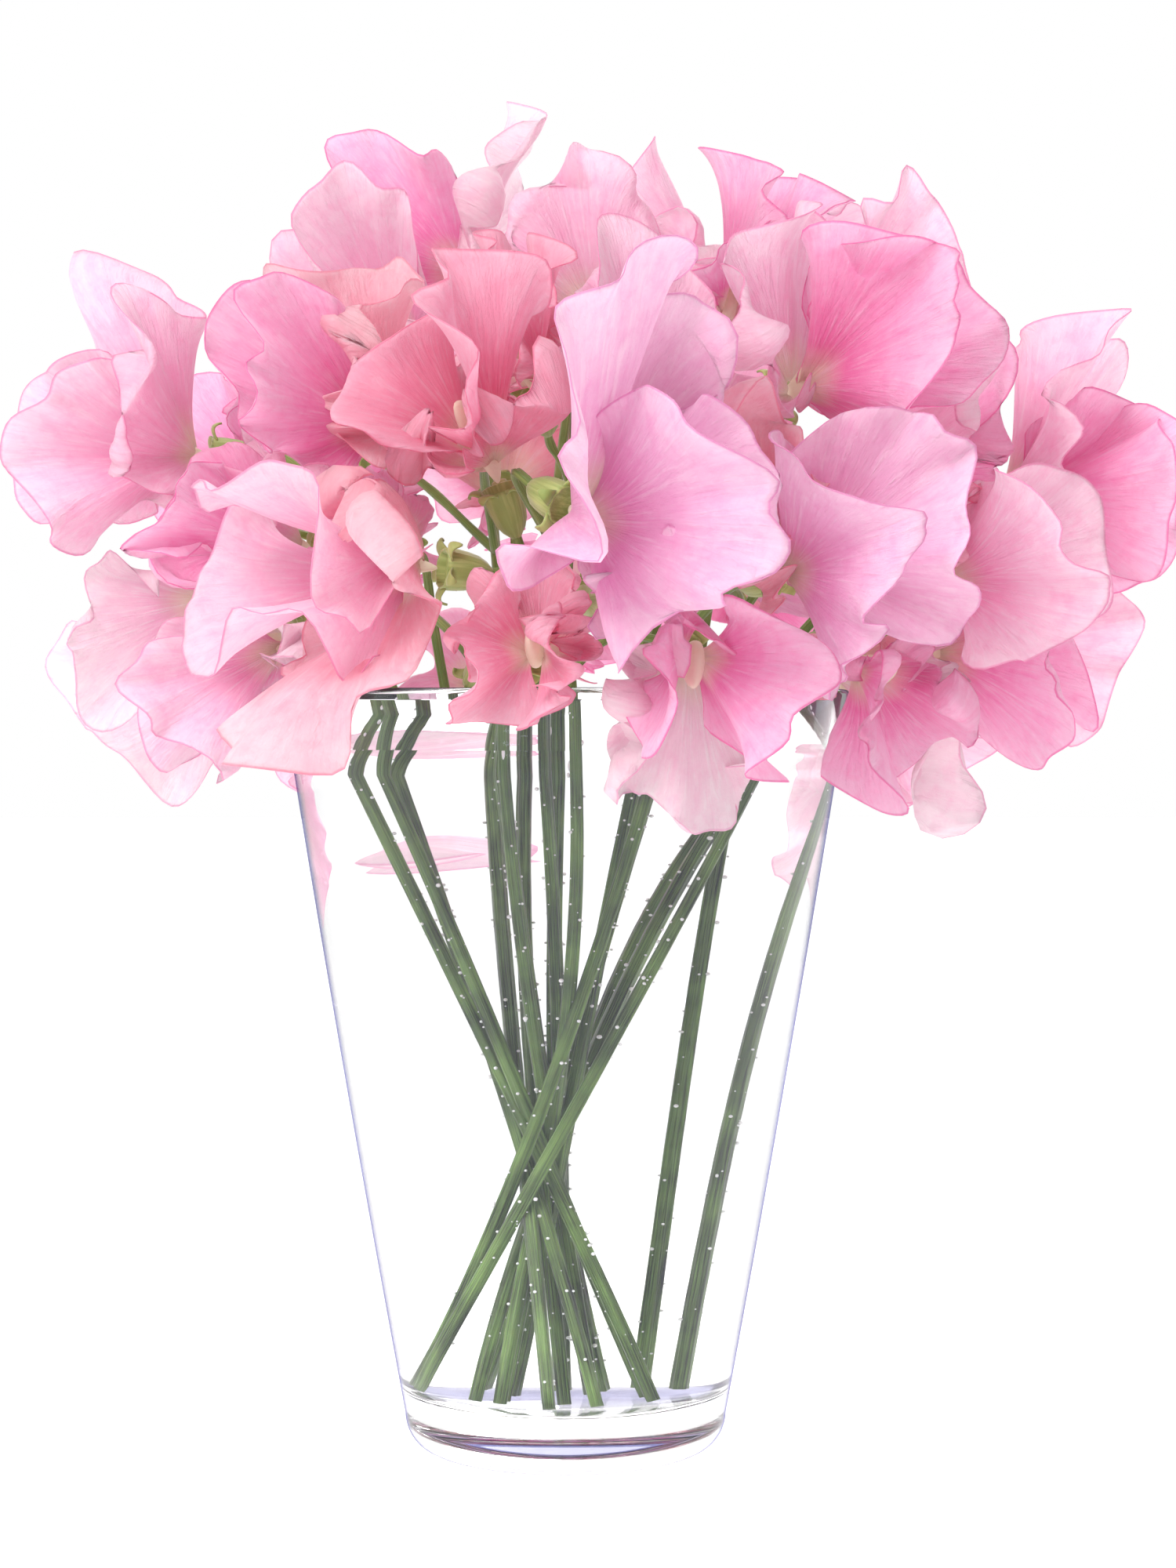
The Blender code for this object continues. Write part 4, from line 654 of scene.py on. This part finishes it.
# Shader helpers
class Wire:
    # What comes out of a node, so that sums can be written out, such as (part - 0.5) * 3
    def __init__(self, made, which=0):
        self.socket = made.outputs[which]
        self.tree = made.id_data

    def sum(self, operation, other=0.0):
        return Wire(node(self.tree, "ShaderNodeMath", {0: self, 1: other}, operation=operation))

    def __add__(self, other):
        return self.sum("ADD", other)

    def __sub__(self, other):
        return self.sum("SUBTRACT", other)

    def __mul__(self, other):
        return self.sum("MULTIPLY", other)

    def rest(self):
        # What is left of 1
        return Wire(node(self.tree, "ShaderNodeMath", {0: 1.0, 1: self}, operation="SUBTRACT"))


def fill(made, inputs):
    # Each input gets a wire, a number or a colour
    for key, value in inputs.items():
        socket = made.inputs[key]
        if isinstance(value, Wire):
            made.id_data.links.new(value.socket, socket)
        else:
            socket.default_value = (*value, 1) if socket.type == "RGBA" else value


def node(tree, kind, inputs={}, **settings):
    made = tree.nodes.new(kind)
    for key, value in settings.items():
        setattr(made, key, value)
    fill(made, inputs)
    return made


def linear(colour):
    # An sRGB colour as the shaders want it
    return [c / 12.92 if c <= 0.04045 else ((c + 0.055) / 1.055) ** 2.4 for c in colour]


def blendColours(factor, first, second):
    return Wire(node(factor.tree, "ShaderNodeMix", {0: factor, 6: first, 7: second}, data_type="RGBA"), 2)


def mixShaders(tree, factor, first, second):
    return node(tree, "ShaderNodeMixShader", {0: factor, 1: Wire(first), 2: Wire(second)})


def ramp(value, start, end):
    # 0 before start, 1 after end, eased between
    return Wire(node(value.tree, "ShaderNodeMapRange", {0: value, 1: start, 2: end},
                     interpolation_type="SMOOTHSTEP"))


def noise(vector, scale, detail=2, rough=0.5):
    return Wire(node(vector.tree, "ShaderNodeTexNoise",
                     {"Vector": vector, "Scale": scale, "Detail": detail, "Roughness": rough}), "Fac")


def axes(vector):
    made = node(vector.tree, "ShaderNodeSeparateXYZ", {0: vector})
    return [Wire(made, axis) for axis in range(3)]


def joined(x, y, z):
    return Wire(node(x.tree, "ShaderNodeCombineXYZ", {0: x, 1: y, 2: z}))


def objectSpot(tree):
    return Wire(node(tree, "ShaderNodeTexCoord"), "Object")


def attribute(tree, name):
    return Wire(node(tree, "ShaderNodeAttribute", attribute_name=name), "Vector")


def bump(height, distance, strength):
    return Wire(node(height.tree, "ShaderNodeBump",
                     {"Height": height, "Distance": distance, "Strength": strength}))


def newGroup(name, inputs, outputs):
    tree = bpy.data.node_groups.new(name, "ShaderNodeTree")
    for sockets, way in ((inputs, "INPUT"), (outputs, "OUTPUT")):
        for label, kind in sockets.items():
            tree.interface.new_socket(name=label, in_out=way, socket_type="NodeSocket" + kind)
    given = node(tree, "NodeGroupInput")
    return tree, [Wire(given, label) for label in inputs], node(tree, "NodeGroupOutput")


def newMaterial(name, inputs):
    material = bpy.data.materials.new(name)
    material.use_nodes = True
    surface = material.node_tree.nodes["Principled BSDF"]
    fill(surface, inputs)
    return material, material.node_tree, surface


def finished(material, shader):
    fill(material.node_tree.nodes["Material Output"], {"Surface": Wire(shader)})
    return material


# Veins that fan out from the claw and fork on the way: how many, where they start, how strong
forks = ((9, 0.02, 1.0), (18, 0.30, 0.75), (36, 0.58, 0.55), (72, 0.8, 0.4))


def veinGroup():
    tree, (where, wobble), result = newGroup(
        "petalVeins", dict(Where="Vector", Wobble="Float"), dict(Veins="Float"))
    angle, part, _ = axes(where)
    drift = (noise(objectSpot(tree), 110, 3) - 0.5) * wobble
    total = None
    for count, start, strength in forks:
        thin = (angle * count + drift).sum("SINE").sum("ABSOLUTE").rest()
        line = thin.sum("POWER", 7.0) * (ramp(part, start, start + 0.12) * strength)
        total = total.sum("MAXIMUM", line) if total else line
    fill(result, {"Veins": total})
    return tree


# The amounts for the wrinkles' crest and valley colours are painted highlight and painted shade
petalLook = dict(throat=0.22, wingThroat=0.5, claw=(0.97, 0.95, 0.84), wobble=3.4, wrinkles=24,
                 veinDepth=-0.16, grainDepth=0.12, bump=0.0015, saturation=1.12, through=0.45,
                 cloudScale=42, blotScale=260, grainScale=1500, margin=(0.00012, 0.00070),
                 paleEnd=0.75, clawCream=0.85, paintedCrestHighlight=0.50, paintedValleyShade=0.22, blots=0.22, veins=0.07, edge=0.62,
                 surface={"Roughness": 0.52, "Specular IOR Level": 0.28,
                          "Sheen Weight": 0.3, "Sheen Roughness": 0.4})


def petalGroup(veins):
    # Colour of a petal from where a point is on its blade
    look = petalLook
    tree, (where, tone, pale, flush, rim), result = newGroup(
        "petalColour", dict(Where="Vector", Tone="Color", Pale="Color", Flush="Color", Rim="Float"),
        dict(Color="Color", Glow="Color", Height="Float"))
    angle, part, wing = axes(where)
    spot = objectSpot(tree)
    cloud = noise(spot, look["cloudScale"], 3)
    drift = part + (cloud - 0.5) * 0.45
    throat = ramp(drift, 0.08, 0.60).rest() * (wing * look["wingThroat"] + look["throat"])
    lines = Wire(node(tree, "ShaderNodeGroup", node_tree=veins))
    fill(lines.socket.node, {"Where": where, "Wobble": look["wobble"]})
    # Wrinkles that run out from the claw. Each crest is painted pale as a highlight, and each valley is
    # painted with the flush as shade
    wrinkle = noise(joined(angle * look["wrinkles"], part * 3.4, cloud * 3), 1, 5, 0.62)
    colour = tone
    for amount, target in (
            (ramp(drift, 0.45, 1.1) * look["paleEnd"], pale),
            (throat, flush),
            (ramp(part, 0.05, 0.30).rest() * look["clawCream"], linear(look["claw"])),
            (ramp(wrinkle, 0.48, 0.68) * look["paintedCrestHighlight"], pale),
            (ramp(wrinkle, 0.5, 0.25) * look["paintedValleyShade"], flush),
            (ramp(noise(spot, look["blotScale"], 4, 0.6), 0.42, 0.72) * look["blots"], flush),
            (lines * look["veins"], flush),
            (ramp(rim, *look["margin"]).rest() * look["edge"], flush)):
        colour = blendColours(amount, colour, target)
    deep = node(tree, "ShaderNodeHueSaturation", {"Saturation": look["saturation"], "Color": colour})
    height = lines * look["veinDepth"] + noise(spot, look["grainScale"]) * look["grainDepth"] + wrinkle
    fill(result, {"Color": colour, "Glow": Wire(deep), "Height": height})
    return tree


def petalMaterial(group):
    # Satin on the outside, and light comes through. The blade's inside lets light straight on
    material, tree, surface = newMaterial("petal", petalLook["surface"])
    given = {label: attribute(tree, label.lower()) for label in ("Where", "Tone", "Pale", "Flush")}
    pattern = node(tree, "ShaderNodeGroup", node_tree=group)
    fill(pattern, {**given, "Rim": axes(attribute(tree, "rim"))[0]})
    normal = bump(Wire(pattern, "Height"), petalLook["bump"], 0.6)
    fill(surface, {"Base Color": Wire(pattern, "Color"), "Normal": normal})
    through = node(tree, "ShaderNodeBsdfTranslucent", {"Color": Wire(pattern, "Glow"), "Normal": normal})
    lit = mixShaders(tree, petalLook["through"], surface, through)
    inside = Wire(node(tree, "ShaderNodeNewGeometry"), "Backfacing")
    return finished(material, mixShaders(tree, inside, lit, node(tree, "ShaderNodeBsdfTransparent")))


# Colours of the greens as sRGB, dark and light: the first pair is for under the water, dry is above it.
# Under the water the stems are painted much darker, which is painted shade
greens = dict(stemShadedUnderWater=((0.030, 0.085, 0.012), (0.53, 0.67, 0.35)),
              stemDry=((0.34, 0.46, 0.19), (0.64, 0.73, 0.42)),
              calyx=((0.54, 0.63, 0.33), (0.77, 0.82, 0.53)), bump=0.0002, below=0.012, above=0.008,
              surface={"Specular IOR Level": 0.35, "Sheen Weight": 0.3,
                       "Subsurface Weight": 0.15, "Subsurface Scale": 0.001})


def skinGroup():
    # Skin of a green stem: streaks along it, paler patches and pits
    tree, (where, dark, light, streaks), result = newGroup(
        "plantSkin", dict(Where="Vector", Dark="Color", Light="Color", Streaks="Float"),
        dict(Color="Color", Height="Float"))
    x, y, z = axes(where)
    streak = noise(joined(x * streaks, y * 60, z), 1, 4, 0.6)
    spot = objectSpot(tree)
    mix = ramp(streak, 0.35, 0.7) * 0.6 + ramp(noise(spot, 70, 3), 0.35, 0.7) * 0.4
    fill(result, {"Color": blendColours(mix, dark, light), "Height": streak + noise(spot, 1800) * 0.4})
    return tree


def plantMaterial(name, group, underWater, dry, roughness, streaks):
    material, tree, surface = newMaterial(name, {**greens["surface"], "Roughness": roughness})
    # Below the water line a piece takes its under-water colours; for the stems these are darker as painted
    # shade
    level = water["level"]
    dipped = ramp(axes(objectSpot(tree))[2], level - greens["below"], level + greens["above"])
    dark, light = (blendColours(dipped, linear(under), linear(over)) for under, over in zip(underWater, dry))
    skin = node(tree, "ShaderNodeGroup", node_tree=group)
    fill(skin, {"Where": attribute(tree, "where"), "Dark": dark, "Light": light, "Streaks": streaks})
    normal = bump(Wire(skin, "Height"), greens["bump"], 0.5)
    fill(surface, {"Base Color": Wire(skin, "Color"), "Normal": normal})
    return material


# Where glass and water are seen edge-on they get a painted dark line, in place of the darker room seen in
# them there: the facing at which it starts and is full
paintedEdgeLine = (0.76, 0.94)
clear = dict(
    glass=dict(ior=1.5, colour=(0.995, 0.995, 1), edge=(0.50, 0.50, 0.65), gleam=(0.34, 0.34, 0.44)),
    water=dict(ior=1.333, colour=(1, 1, 1), edge=(0.88, 0.88, 0.93), gleam=(0.40, 0.40, 0.46)))


def clearMaterial(name, ior, colour, edge, gleam):
    # Lets lamps through to what stands in it, and has a painted dark line where it is seen edge-on, in place
    # of the darker room it would show there
    material, tree, surface = newMaterial(name, {
        "Base Color": colour, "Roughness": 0, "IOR": ior, "Transmission Weight": 1, "Specular Tint": gleam})
    facing = Wire(node(tree, "ShaderNodeLayerWeight"), "Facing")
    line = node(tree, "ShaderNodeBsdfTransparent", {"Color": edge})
    edged = mixShaders(tree, ramp(facing, *paintedEdgeLine), surface, line)
    passing = node(tree, "ShaderNodeBsdfTransparent", {"Color": (0.98, 0.98, 0.98)})
    shadow = Wire(node(tree, "ShaderNodeLightPath"), "Is Shadow Ray")
    return finished(material, mixShaders(tree, shadow, edged, passing))


petalMat = petalMaterial(petalGroup(veinGroup()))
skin = skinGroup()
stemMat = plantMaterial("stem", skin, greens["stemShadedUnderWater"], greens["stemDry"], 0.38, 9)
calyxMat = plantMaterial("calyx", skin, greens["calyx"], greens["calyx"], 0.5, 5)
glassMat, waterMat = (clearMaterial(name, **look) for name, look in clear.items())
# The bubbles are white: painted reflection, as an air bubble in water is clear and looks silvery by the
# light it reflects
bubbleMat = newMaterial("bubble", {"Base Color": (1, 1, 1), "Roughness": 0.12, "Specular IOR Level": 1,
                                   "Coat Weight": 0.6})[0]
print("materials made")

# The vase's section: radius and height of the dish in its floor, and of the hollow under its foot
vaseSection = dict(dish=((0, 0.0006), (0.010, 0.0005), (0.020, 0.0001)),
                   hollow=((0.0270, 0), (0.0245, 0.0007), (0.0200, 0.0014), (0.0120, 0.0020), (0, 0.0022)))
levels = [0.030 + 0.012 * step for step in range(11)]
filletLevel = vase["floor"] + vase["fillet"]
filletCentre = (innerRadius(filletLevel) - vase["fillet"], filletLevel)


def arc(centre, radius, start, end, steps):
    turns = np.radians(np.linspace(start, end, steps + 1))
    return [(centre[0] + radius * math.cos(turn), centre[1] + radius * math.sin(turn)) for turn in turns]


def turned(name, section, material):
    # A closed piece turned about the vase's axis, from a section that starts and ends on it
    sides = vase["sides"]
    points = [(0, 0, section[0][1])]
    for radius, height in section[1:-1]:
        points += [(radius * math.cos(turn), radius * math.sin(turn), height) for turn in around(sides)]
    parts = Parts()
    parts.add(points + [(0, 0, section[-1][1])], ringFaces(sides, len(section) - 2))
    return parts.piece(name, [material])


def makeVase():
    lip = vase["wall"] / 2
    heelHeight = vase["heelHeight"]
    heel = vase["heelRadius"] - vase["footRadius"]
    inside = [(radius, vase["floor"] + height) for radius, height in vaseSection["dish"]]
    inside += arc(filletCentre, vase["fillet"], -90, 0, 8) + [(innerRadius(z), z) for z in levels]
    rim = arc((vase["mouthRadius"] - lip, vase["height"] - lip), lip, 180, 0, 10)
    outside = [(outerRadius(z), z) for z in levels[::-1] + [0.018]]
    foot = [(x, max(0, heelHeight + (z - heelHeight) * heelHeight / heel))
            for x, z in arc((vase["footRadius"], heelHeight), heel, 0, -90, 10)]
    piece = turned("vaseGlass", inside + rim + outside + foot + list(vaseSection["hollow"]), glassMat)
    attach(piece, "root")
    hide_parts("vase")


def makeWater():
    # The water laps a little way into the glass, so that no air shows between them
    lap, level, climb = water["intoGlass"], water["level"], water["climb"]
    start = innerRadius(level) - climb
    top = [(0, level), (start, level)]
    for part in np.arange(1, 7) / 6:
        top.append((start + (climb + lap) * part, level + water["meniscus"] * part ** 3))
    side = [(innerRadius(z) + lap, z) for z in levels[::-1]]
    floor = vase["floor"] - lap
    bottom = arc(filletCentre, vase["fillet"] + lap, 0, -90, 8) + [(0.012, floor), (0, floor)]
    piece = turned("waterBody", top + side + bottom, waterMat)
    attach(piece, "root")
    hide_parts("water")


makeVase()
makeWater()
print("vase and water made")

# How finely the petals are made: the first number is for a standard, the second for a wing
fineness = dict(rows=(28, 20), columns=(116, 64), clawThickness=0.00042, marginThickness=0.00020,
                firstPart=0.05, crowding=0.85)
keel = dict(rings=14, sides=20, shorter=0.93, slimmer=0.88, blunt=0.55, rise=0.006,
            tints=((0.96, 0.95, 0.86), (0.97, 0.86, 0.82), (0.95, 0.88, 0.76)))


def rimDistance(points):
    # How far each point is from the margin, measured over the blade
    down = np.linalg.norm(np.diff(points, axis=0), axis=-1)
    toMargin = np.vstack([np.cumsum(down[::-1], axis=0)[::-1], np.zeros((1, points.shape[1]))])
    side = np.linalg.norm(np.diff(points, axis=1), axis=-1)
    fromLeft = np.hstack([np.zeros((points.shape[0], 1)), np.cumsum(side, axis=1)])
    return np.minimum(toMargin, np.minimum(fromLeft, fromLeft[:, -1:] - fromLeft)).reshape(-1, 1)


def addPetal(parts, bloom, span, surface, phases, count, wing):
    # Rows crowd towards the margin, where the crimps are
    rows, columns = fineness["rows"][wing], fineness["columns"][wing]
    first, thin = fineness["firstPart"], fineness["marginThickness"]
    outward = first + (1 - first) * (np.arange(rows + 1) / rows) ** fineness["crowding"]
    angle, part = np.meshgrid(np.linspace(*span, columns + 1), outward)
    points = bloom.blade(surface, angle, part, phases, count)
    both, faces = shell(points, (thin + (fineness["clawThickness"] - thin) * (1 - part)) / 2)
    where = np.dstack([angle, part, np.full_like(part, wing)]).reshape(-1, 3)
    tone, pale, flush = (linear(colour) for colour in tints[bloom.tints[wing]])
    parts.add(both, faces, where=np.vstack([where] * 2), rim=np.vstack([rimDistance(points)] * 2),
              tone=tone, pale=pale, flush=flush)


def addKeel(parts, bloom):
    # The cream boat between the wings
    ball, faces = globe(keel["rings"], keel["sides"])
    size = bloom.size
    part = (1 - ball[:, 2]) / 2
    slim = keel["blunt"] + (1 - keel["blunt"]) * np.minimum(part / 0.5, 1)
    forward = petals["gap"] + keel["shorter"] * part * petals["keelLength"] * size
    sideways = keel["slimmer"] * ball[:, 0] * petals["keelWidth"] / 2 * min(size, 1) * slim
    upward = ball[:, 1] * petals["keelHeight"] / 2 * size * slim
    upward += (part * part - 0.3 * part) * keel["rise"] * size
    tone, pale, flush = (linear(colour) for colour in keel["tints"])
    parts.add(bloom.held(bloom.place(forward, sideways, upward), 0, room["lastKnee"]), faces,
              where=(0.3, 0.5, 0), rim=0.01, tone=tone, pale=pale, flush=flush)


for bloom in flowers:
    parts = Parts()
    for blade in bloom.surfaces():
        addPetal(parts, bloom, *blade)
    addKeel(parts, bloom)
    piece = parts.piece("petals_" + bloom.number, [petalMat])
    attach(piece, "root")
    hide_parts("bloom_" + bloom.number)
print("petals made")

# Rods: steps between two points, sides, ridges and how deep they are. The calyx's cup: a section from
# its base to its mouth and inside, as place along the axis and radius, and the ribs round it
stemRod = dict(steps=7, sides=20, ridges=5, depth=0.15, twist=9)
pedicelRod = dict(steps=6, sides=12, ridges=4, depth=0.07, twist=9, ripple=0.08)
cup = dict(sides=30, ribs=10, ribDepth=0.035,
           section=((-0.0116, 0.0010), (-0.0110, 0.0014), (-0.0098, 0.0024), (-0.0080, 0.0033),
                    (-0.0058, 0.0038), (-0.0036, 0.0041), (-0.0018, 0.0042), (-0.0006, 0.0041),
                    (-0.0007, 0.0037), (-0.0024, 0.0034)))
sepals = dict(rows=9, columns=6, root=0.0038, width=0.0017, tip=0.00012, base=-0.0012, arch=0.0010,
              curl=0.0018, cup=0.0005, halfThickness=0.00022, stray=0.08, shortest=0.92)


def smoothPath(points, each):
    # A smooth route through the points, with a few steps between each two
    ends = np.vstack([2 * points[0] - points[1], points, 2 * points[-1] - points[-2]])
    found = []
    for start in range(len(points) - 1):
        p0, p1, p2, p3 = ends[start:start + 4]
        for t in np.arange(each) / each:
            found.append(0.5 * (2 * p1 + (p2 - p0) * t + (2 * p0 - 5 * p1 + 4 * p2 - p3) * t * t
                                + (3 * p1 - p0 - 3 * p2 + p3) * t ** 3))
    return np.array(found + [points[-1]])


def addRod(parts, points, radii, rod, phase):
    # A rod along a route, with ridges that run its length
    ways = unit(np.gradient(points, axis=0))
    side = unit(np.cross(ways[0], (0.31, 0.95, 0.07)))
    run = np.concatenate([[0], np.cumsum(np.linalg.norm(np.diff(points, axis=0), axis=1))])
    turn = around(rod["sides"])
    found, where = [points[:1]], [(0, 0, 0)]
    for place, way, radius, length in zip(points, ways, radii, run):
        side = unit(side - (side @ way) * way)
        swell = radius * (1 + rod["depth"] * np.cos(rod["ridges"] * turn + phase + rod["twist"] * length))
        found.append(place + swell[:, None] * (np.cos(turn)[:, None] * side
                                               + np.sin(turn)[:, None] * np.cross(way, side)))
        where += [(math.cos(angle), length, math.sin(angle)) for angle in turn]
    parts.add(np.vstack(found + [points[-1:]]), ringFaces(rod["sides"], len(points)),
              where=where + [(0, run[-1], 0)])


def calyxPoint(bloom, forward, radius, turn):
    return (bloom.mouth + bloom.forward * forward
            + radius * (math.cos(turn) * bloom.up + math.sin(turn) * bloom.side))


def addCup(parts, bloom):
    points, where = [calyxPoint(bloom, cup["section"][0][0], 0, 0)], [(0, 0, 0)]
    for forward, radius in cup["section"]:
        for turn in around(cup["sides"]):
            ribbed = radius * (1 + cup["ribDepth"] * math.cos(cup["ribs"] * turn))
            points.append(calyxPoint(bloom, forward, ribbed, turn))
            where.append((math.cos(turn), forward, math.sin(turn)))
    points.append(calyxPoint(bloom, cup["section"][-1][0], 0, 0))
    parts.add(points, ringFaces(cup["sides"], len(cup["section"])), 1, where=where + [(0, 0, 0)])


def addSepals(parts, bloom, draw):
    # Five pointed sepals that stand out round the calyx's mouth
    rows, columns, root = sepals["rows"], sepals["columns"], sepals["root"]
    for sepal in range(calyxes["sepals"]):
        stray = draw.uniform(-sepals["stray"], sepals["stray"])
        middle = 2 * math.pi * (sepal + stray) / calyxes["sepals"]
        reach = calyxes["sepalReach"] * draw.uniform(sepals["shortest"], 1.0)
        back = draw.uniform(0.2, 1.0) * sepals["curl"]
        grid, where = np.zeros((rows + 1, columns + 1, 3)), []
        for row in range(rows + 1):
            t = row / rows
            radius = root + (reach - root) * math.sin(t * math.pi / 2) ** 0.9
            forward = sepals["base"] + sepals["arch"] * math.sin(t * math.pi) - back * t * t
            halfWidth = sepals["width"] * (1 - t) ** 0.75 * (1 + 0.4 * t) + sepals["tip"]
            for column in range(columns + 1):
                u = 2 * column / columns - 1
                dip = sepals["cup"] * u * u * (1 - t)
                grid[row, column] = calyxPoint(bloom, forward - dip, radius, middle + u * halfWidth / radius)
                where.append((math.cos(middle), 0.002 * row, math.sin(middle)))
        parts.add(*shell(grid, sepals["halfThickness"]), 1, where=where * 2)


# Bends eased, as a fresh stem has no kinks
for _ in range(stems["easing"]):
    for stem in net.stems:
        eased = net.points[stem].copy()
        eased[1:-3] = (eased[:-4] + 2 * eased[1:-3] + eased[2:-2]) / 4
        net.points[stem] = eased

for spray, stem in enumerate(net.stems):
    draw = random.Random(seed * 13 + spray)
    parts = Parts()
    route = smoothPath(net.points[stem], stemRod["steps"])
    thinning = (1 - stems["tipRadius"] / stems["radius"]) * np.linspace(0, 1, len(route)) ** 2
    addRod(parts, route, stems["slim"] * stems["radius"] * (1 - thinning), stemRod, draw.uniform(0, 6))
    for owner, pedicel in net.pedicels:
        if owner == spray:
            route = smoothPath(net.points[pedicel], pedicelRod["steps"])
            ripple = pedicelRod["ripple"] * (1 - np.cos(np.arange(len(route))))
            thick = stems["pedicelRadius"] * (1 - ripple)
            addRod(parts, route, thick, pedicelRod, draw.uniform(0, 6))
    for bloom in flowers:
        if bloom.spray == spray:
            addCup(parts, bloom)
            addSepals(parts, bloom, draw)
    piece = parts.piece("greens_%02d" % (spray + 1), [stemMat, calyxMat])
    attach(piece, "root")
    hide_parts("spray_%02d" % (spray + 1))
print("stems and calyxes made")

# Tiny bubbles that cling to the stems under water. Their white is painted reflection
bubbles = dict(count=1000, least=0.00016, most=0.00050, lift=0.75, ridge=1.06, aboveFoot=0.004,
               belowLevel=0.003, rings=6, sides=10)


def makeBubbles():
    draw = random.Random(seed * 5)
    ball, faces = globe(bubbles["rings"], bubbles["sides"])
    parts = Parts()
    made = 0
    while made < bubbles["count"]:
        stem = net.points[draw.choice(net.stems)]
        place = draw.randrange(len(stem) - 1)
        spot = stem[place] + draw.random() * (stem[place + 1] - stem[place])
        if not stems["footLevel"] + bubbles["aboveFoot"] < spot[2] < water["level"] - bubbles["belowLevel"]:
            continue
        turn = draw.uniform(0, 2 * math.pi)
        side = unit(np.cross(unit(stem[place + 1] - stem[place]), (math.cos(turn), math.sin(turn), 0.1)))
        radius = draw.uniform(bubbles["least"], bubbles["most"]) * draw.uniform(0.5, 1)
        reach = stems["slim"] * stems["radius"] * bubbles["ridge"] + bubbles["lift"] * radius
        parts.add(spot + reach * side + radius * ball, faces)
        made += 1
    piece = parts.piece("bubbles", [bubbleMat])
    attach(piece, "root")


makeBubbles()
print("bubbles made")

# Floor, light and camera. front and back are how bright the room is before and behind the vase
studio = dict(floorSize=4.0, floorGlow=0.42, front=0.45, back=1.1, turn=(-0.55, 0.45), lampAim=(0, 0, 0.2),
              keyLamp=dict(place=(-0.45, -0.75, 0.85), size=0.6, power=9.0),
              backLamp=dict(place=(0.35, 0.9, 0.75), size=0.7, power=5.0),
              lens=70, cameraPlace=(0.005, -0.678, 0.163), cameraAim=(0.005, 0, 0.147))


def makeFloor():
    size = studio["floorSize"]
    mesh = bpy.data.meshes.new("floor")
    corners = [(-size, -size, 0), (size, -size, 0), (size, size, 0), (-size, size, 0)]
    mesh.from_pydata(corners, [], [(0, 1, 2, 3)])
    mesh.materials.append(newMaterial("studioFloor", {
        "Base Color": (0.94, 0.94, 0.94), "Roughness": 0.6, "Emission Color": (1, 1, 1),
        "Emission Strength": studio["floorGlow"]})[0])
    placed("floor", mesh)


def makeWorld():
    # White all round, brighter behind than in front
    world = bpy.data.worlds.new("studio")
    bpy.context.scene.world = world
    world.use_nodes = True
    tree = world.node_tree
    tree.nodes.clear()
    behind = ramp(axes(Wire(node(tree, "ShaderNodeTexCoord"), "Generated"))[1], *studio["turn"])
    colour = blendColours(behind, (studio["front"],) * 3, (studio["back"],) * 3)
    seen = Wire(node(tree, "ShaderNodeLightPath"), "Is Camera Ray")
    sky = node(tree, "ShaderNodeBackground", {"Color": blendColours(seen, colour, (1, 1, 1))})
    fill(node(tree, "ShaderNodeOutputWorld"), {"Surface": Wire(sky)})


def aimed(thing, place, aim):
    thing.location = place
    thing.rotation_euler = (Vector(aim) - Vector(place)).to_track_quat("-Z", "Y").to_euler()
    return thing


def softLamp(name, place, size, power):
    lamp = bpy.data.lights.new(name, "AREA")
    lamp.shape = "DISK"
    lamp.size = size
    lamp.energy = power
    aimed(placed(name, lamp), place, studio["lampAim"]).visible_camera = False


makeFloor()
makeWorld()
for name in ("keyLamp", "backLamp"):
    softLamp(name, **studio[name])
lens = bpy.data.cameras.new("camera")
lens.lens = studio["lens"]
lens.sensor_fit = "VERTICAL"
lens.sensor_height = 36
scene = bpy.context.scene
scene.camera = aimed(placed("camera", lens), studio["cameraPlace"], studio["cameraAim"])
scene.view_settings.view_transform = "Standard"
scene.view_settings.look = "None"
scene.cycles.transparent_max_bounces = 24
scene.cycles.max_bounces = 16
scene.cycles.transmission_bounces = 16
print("stage set")
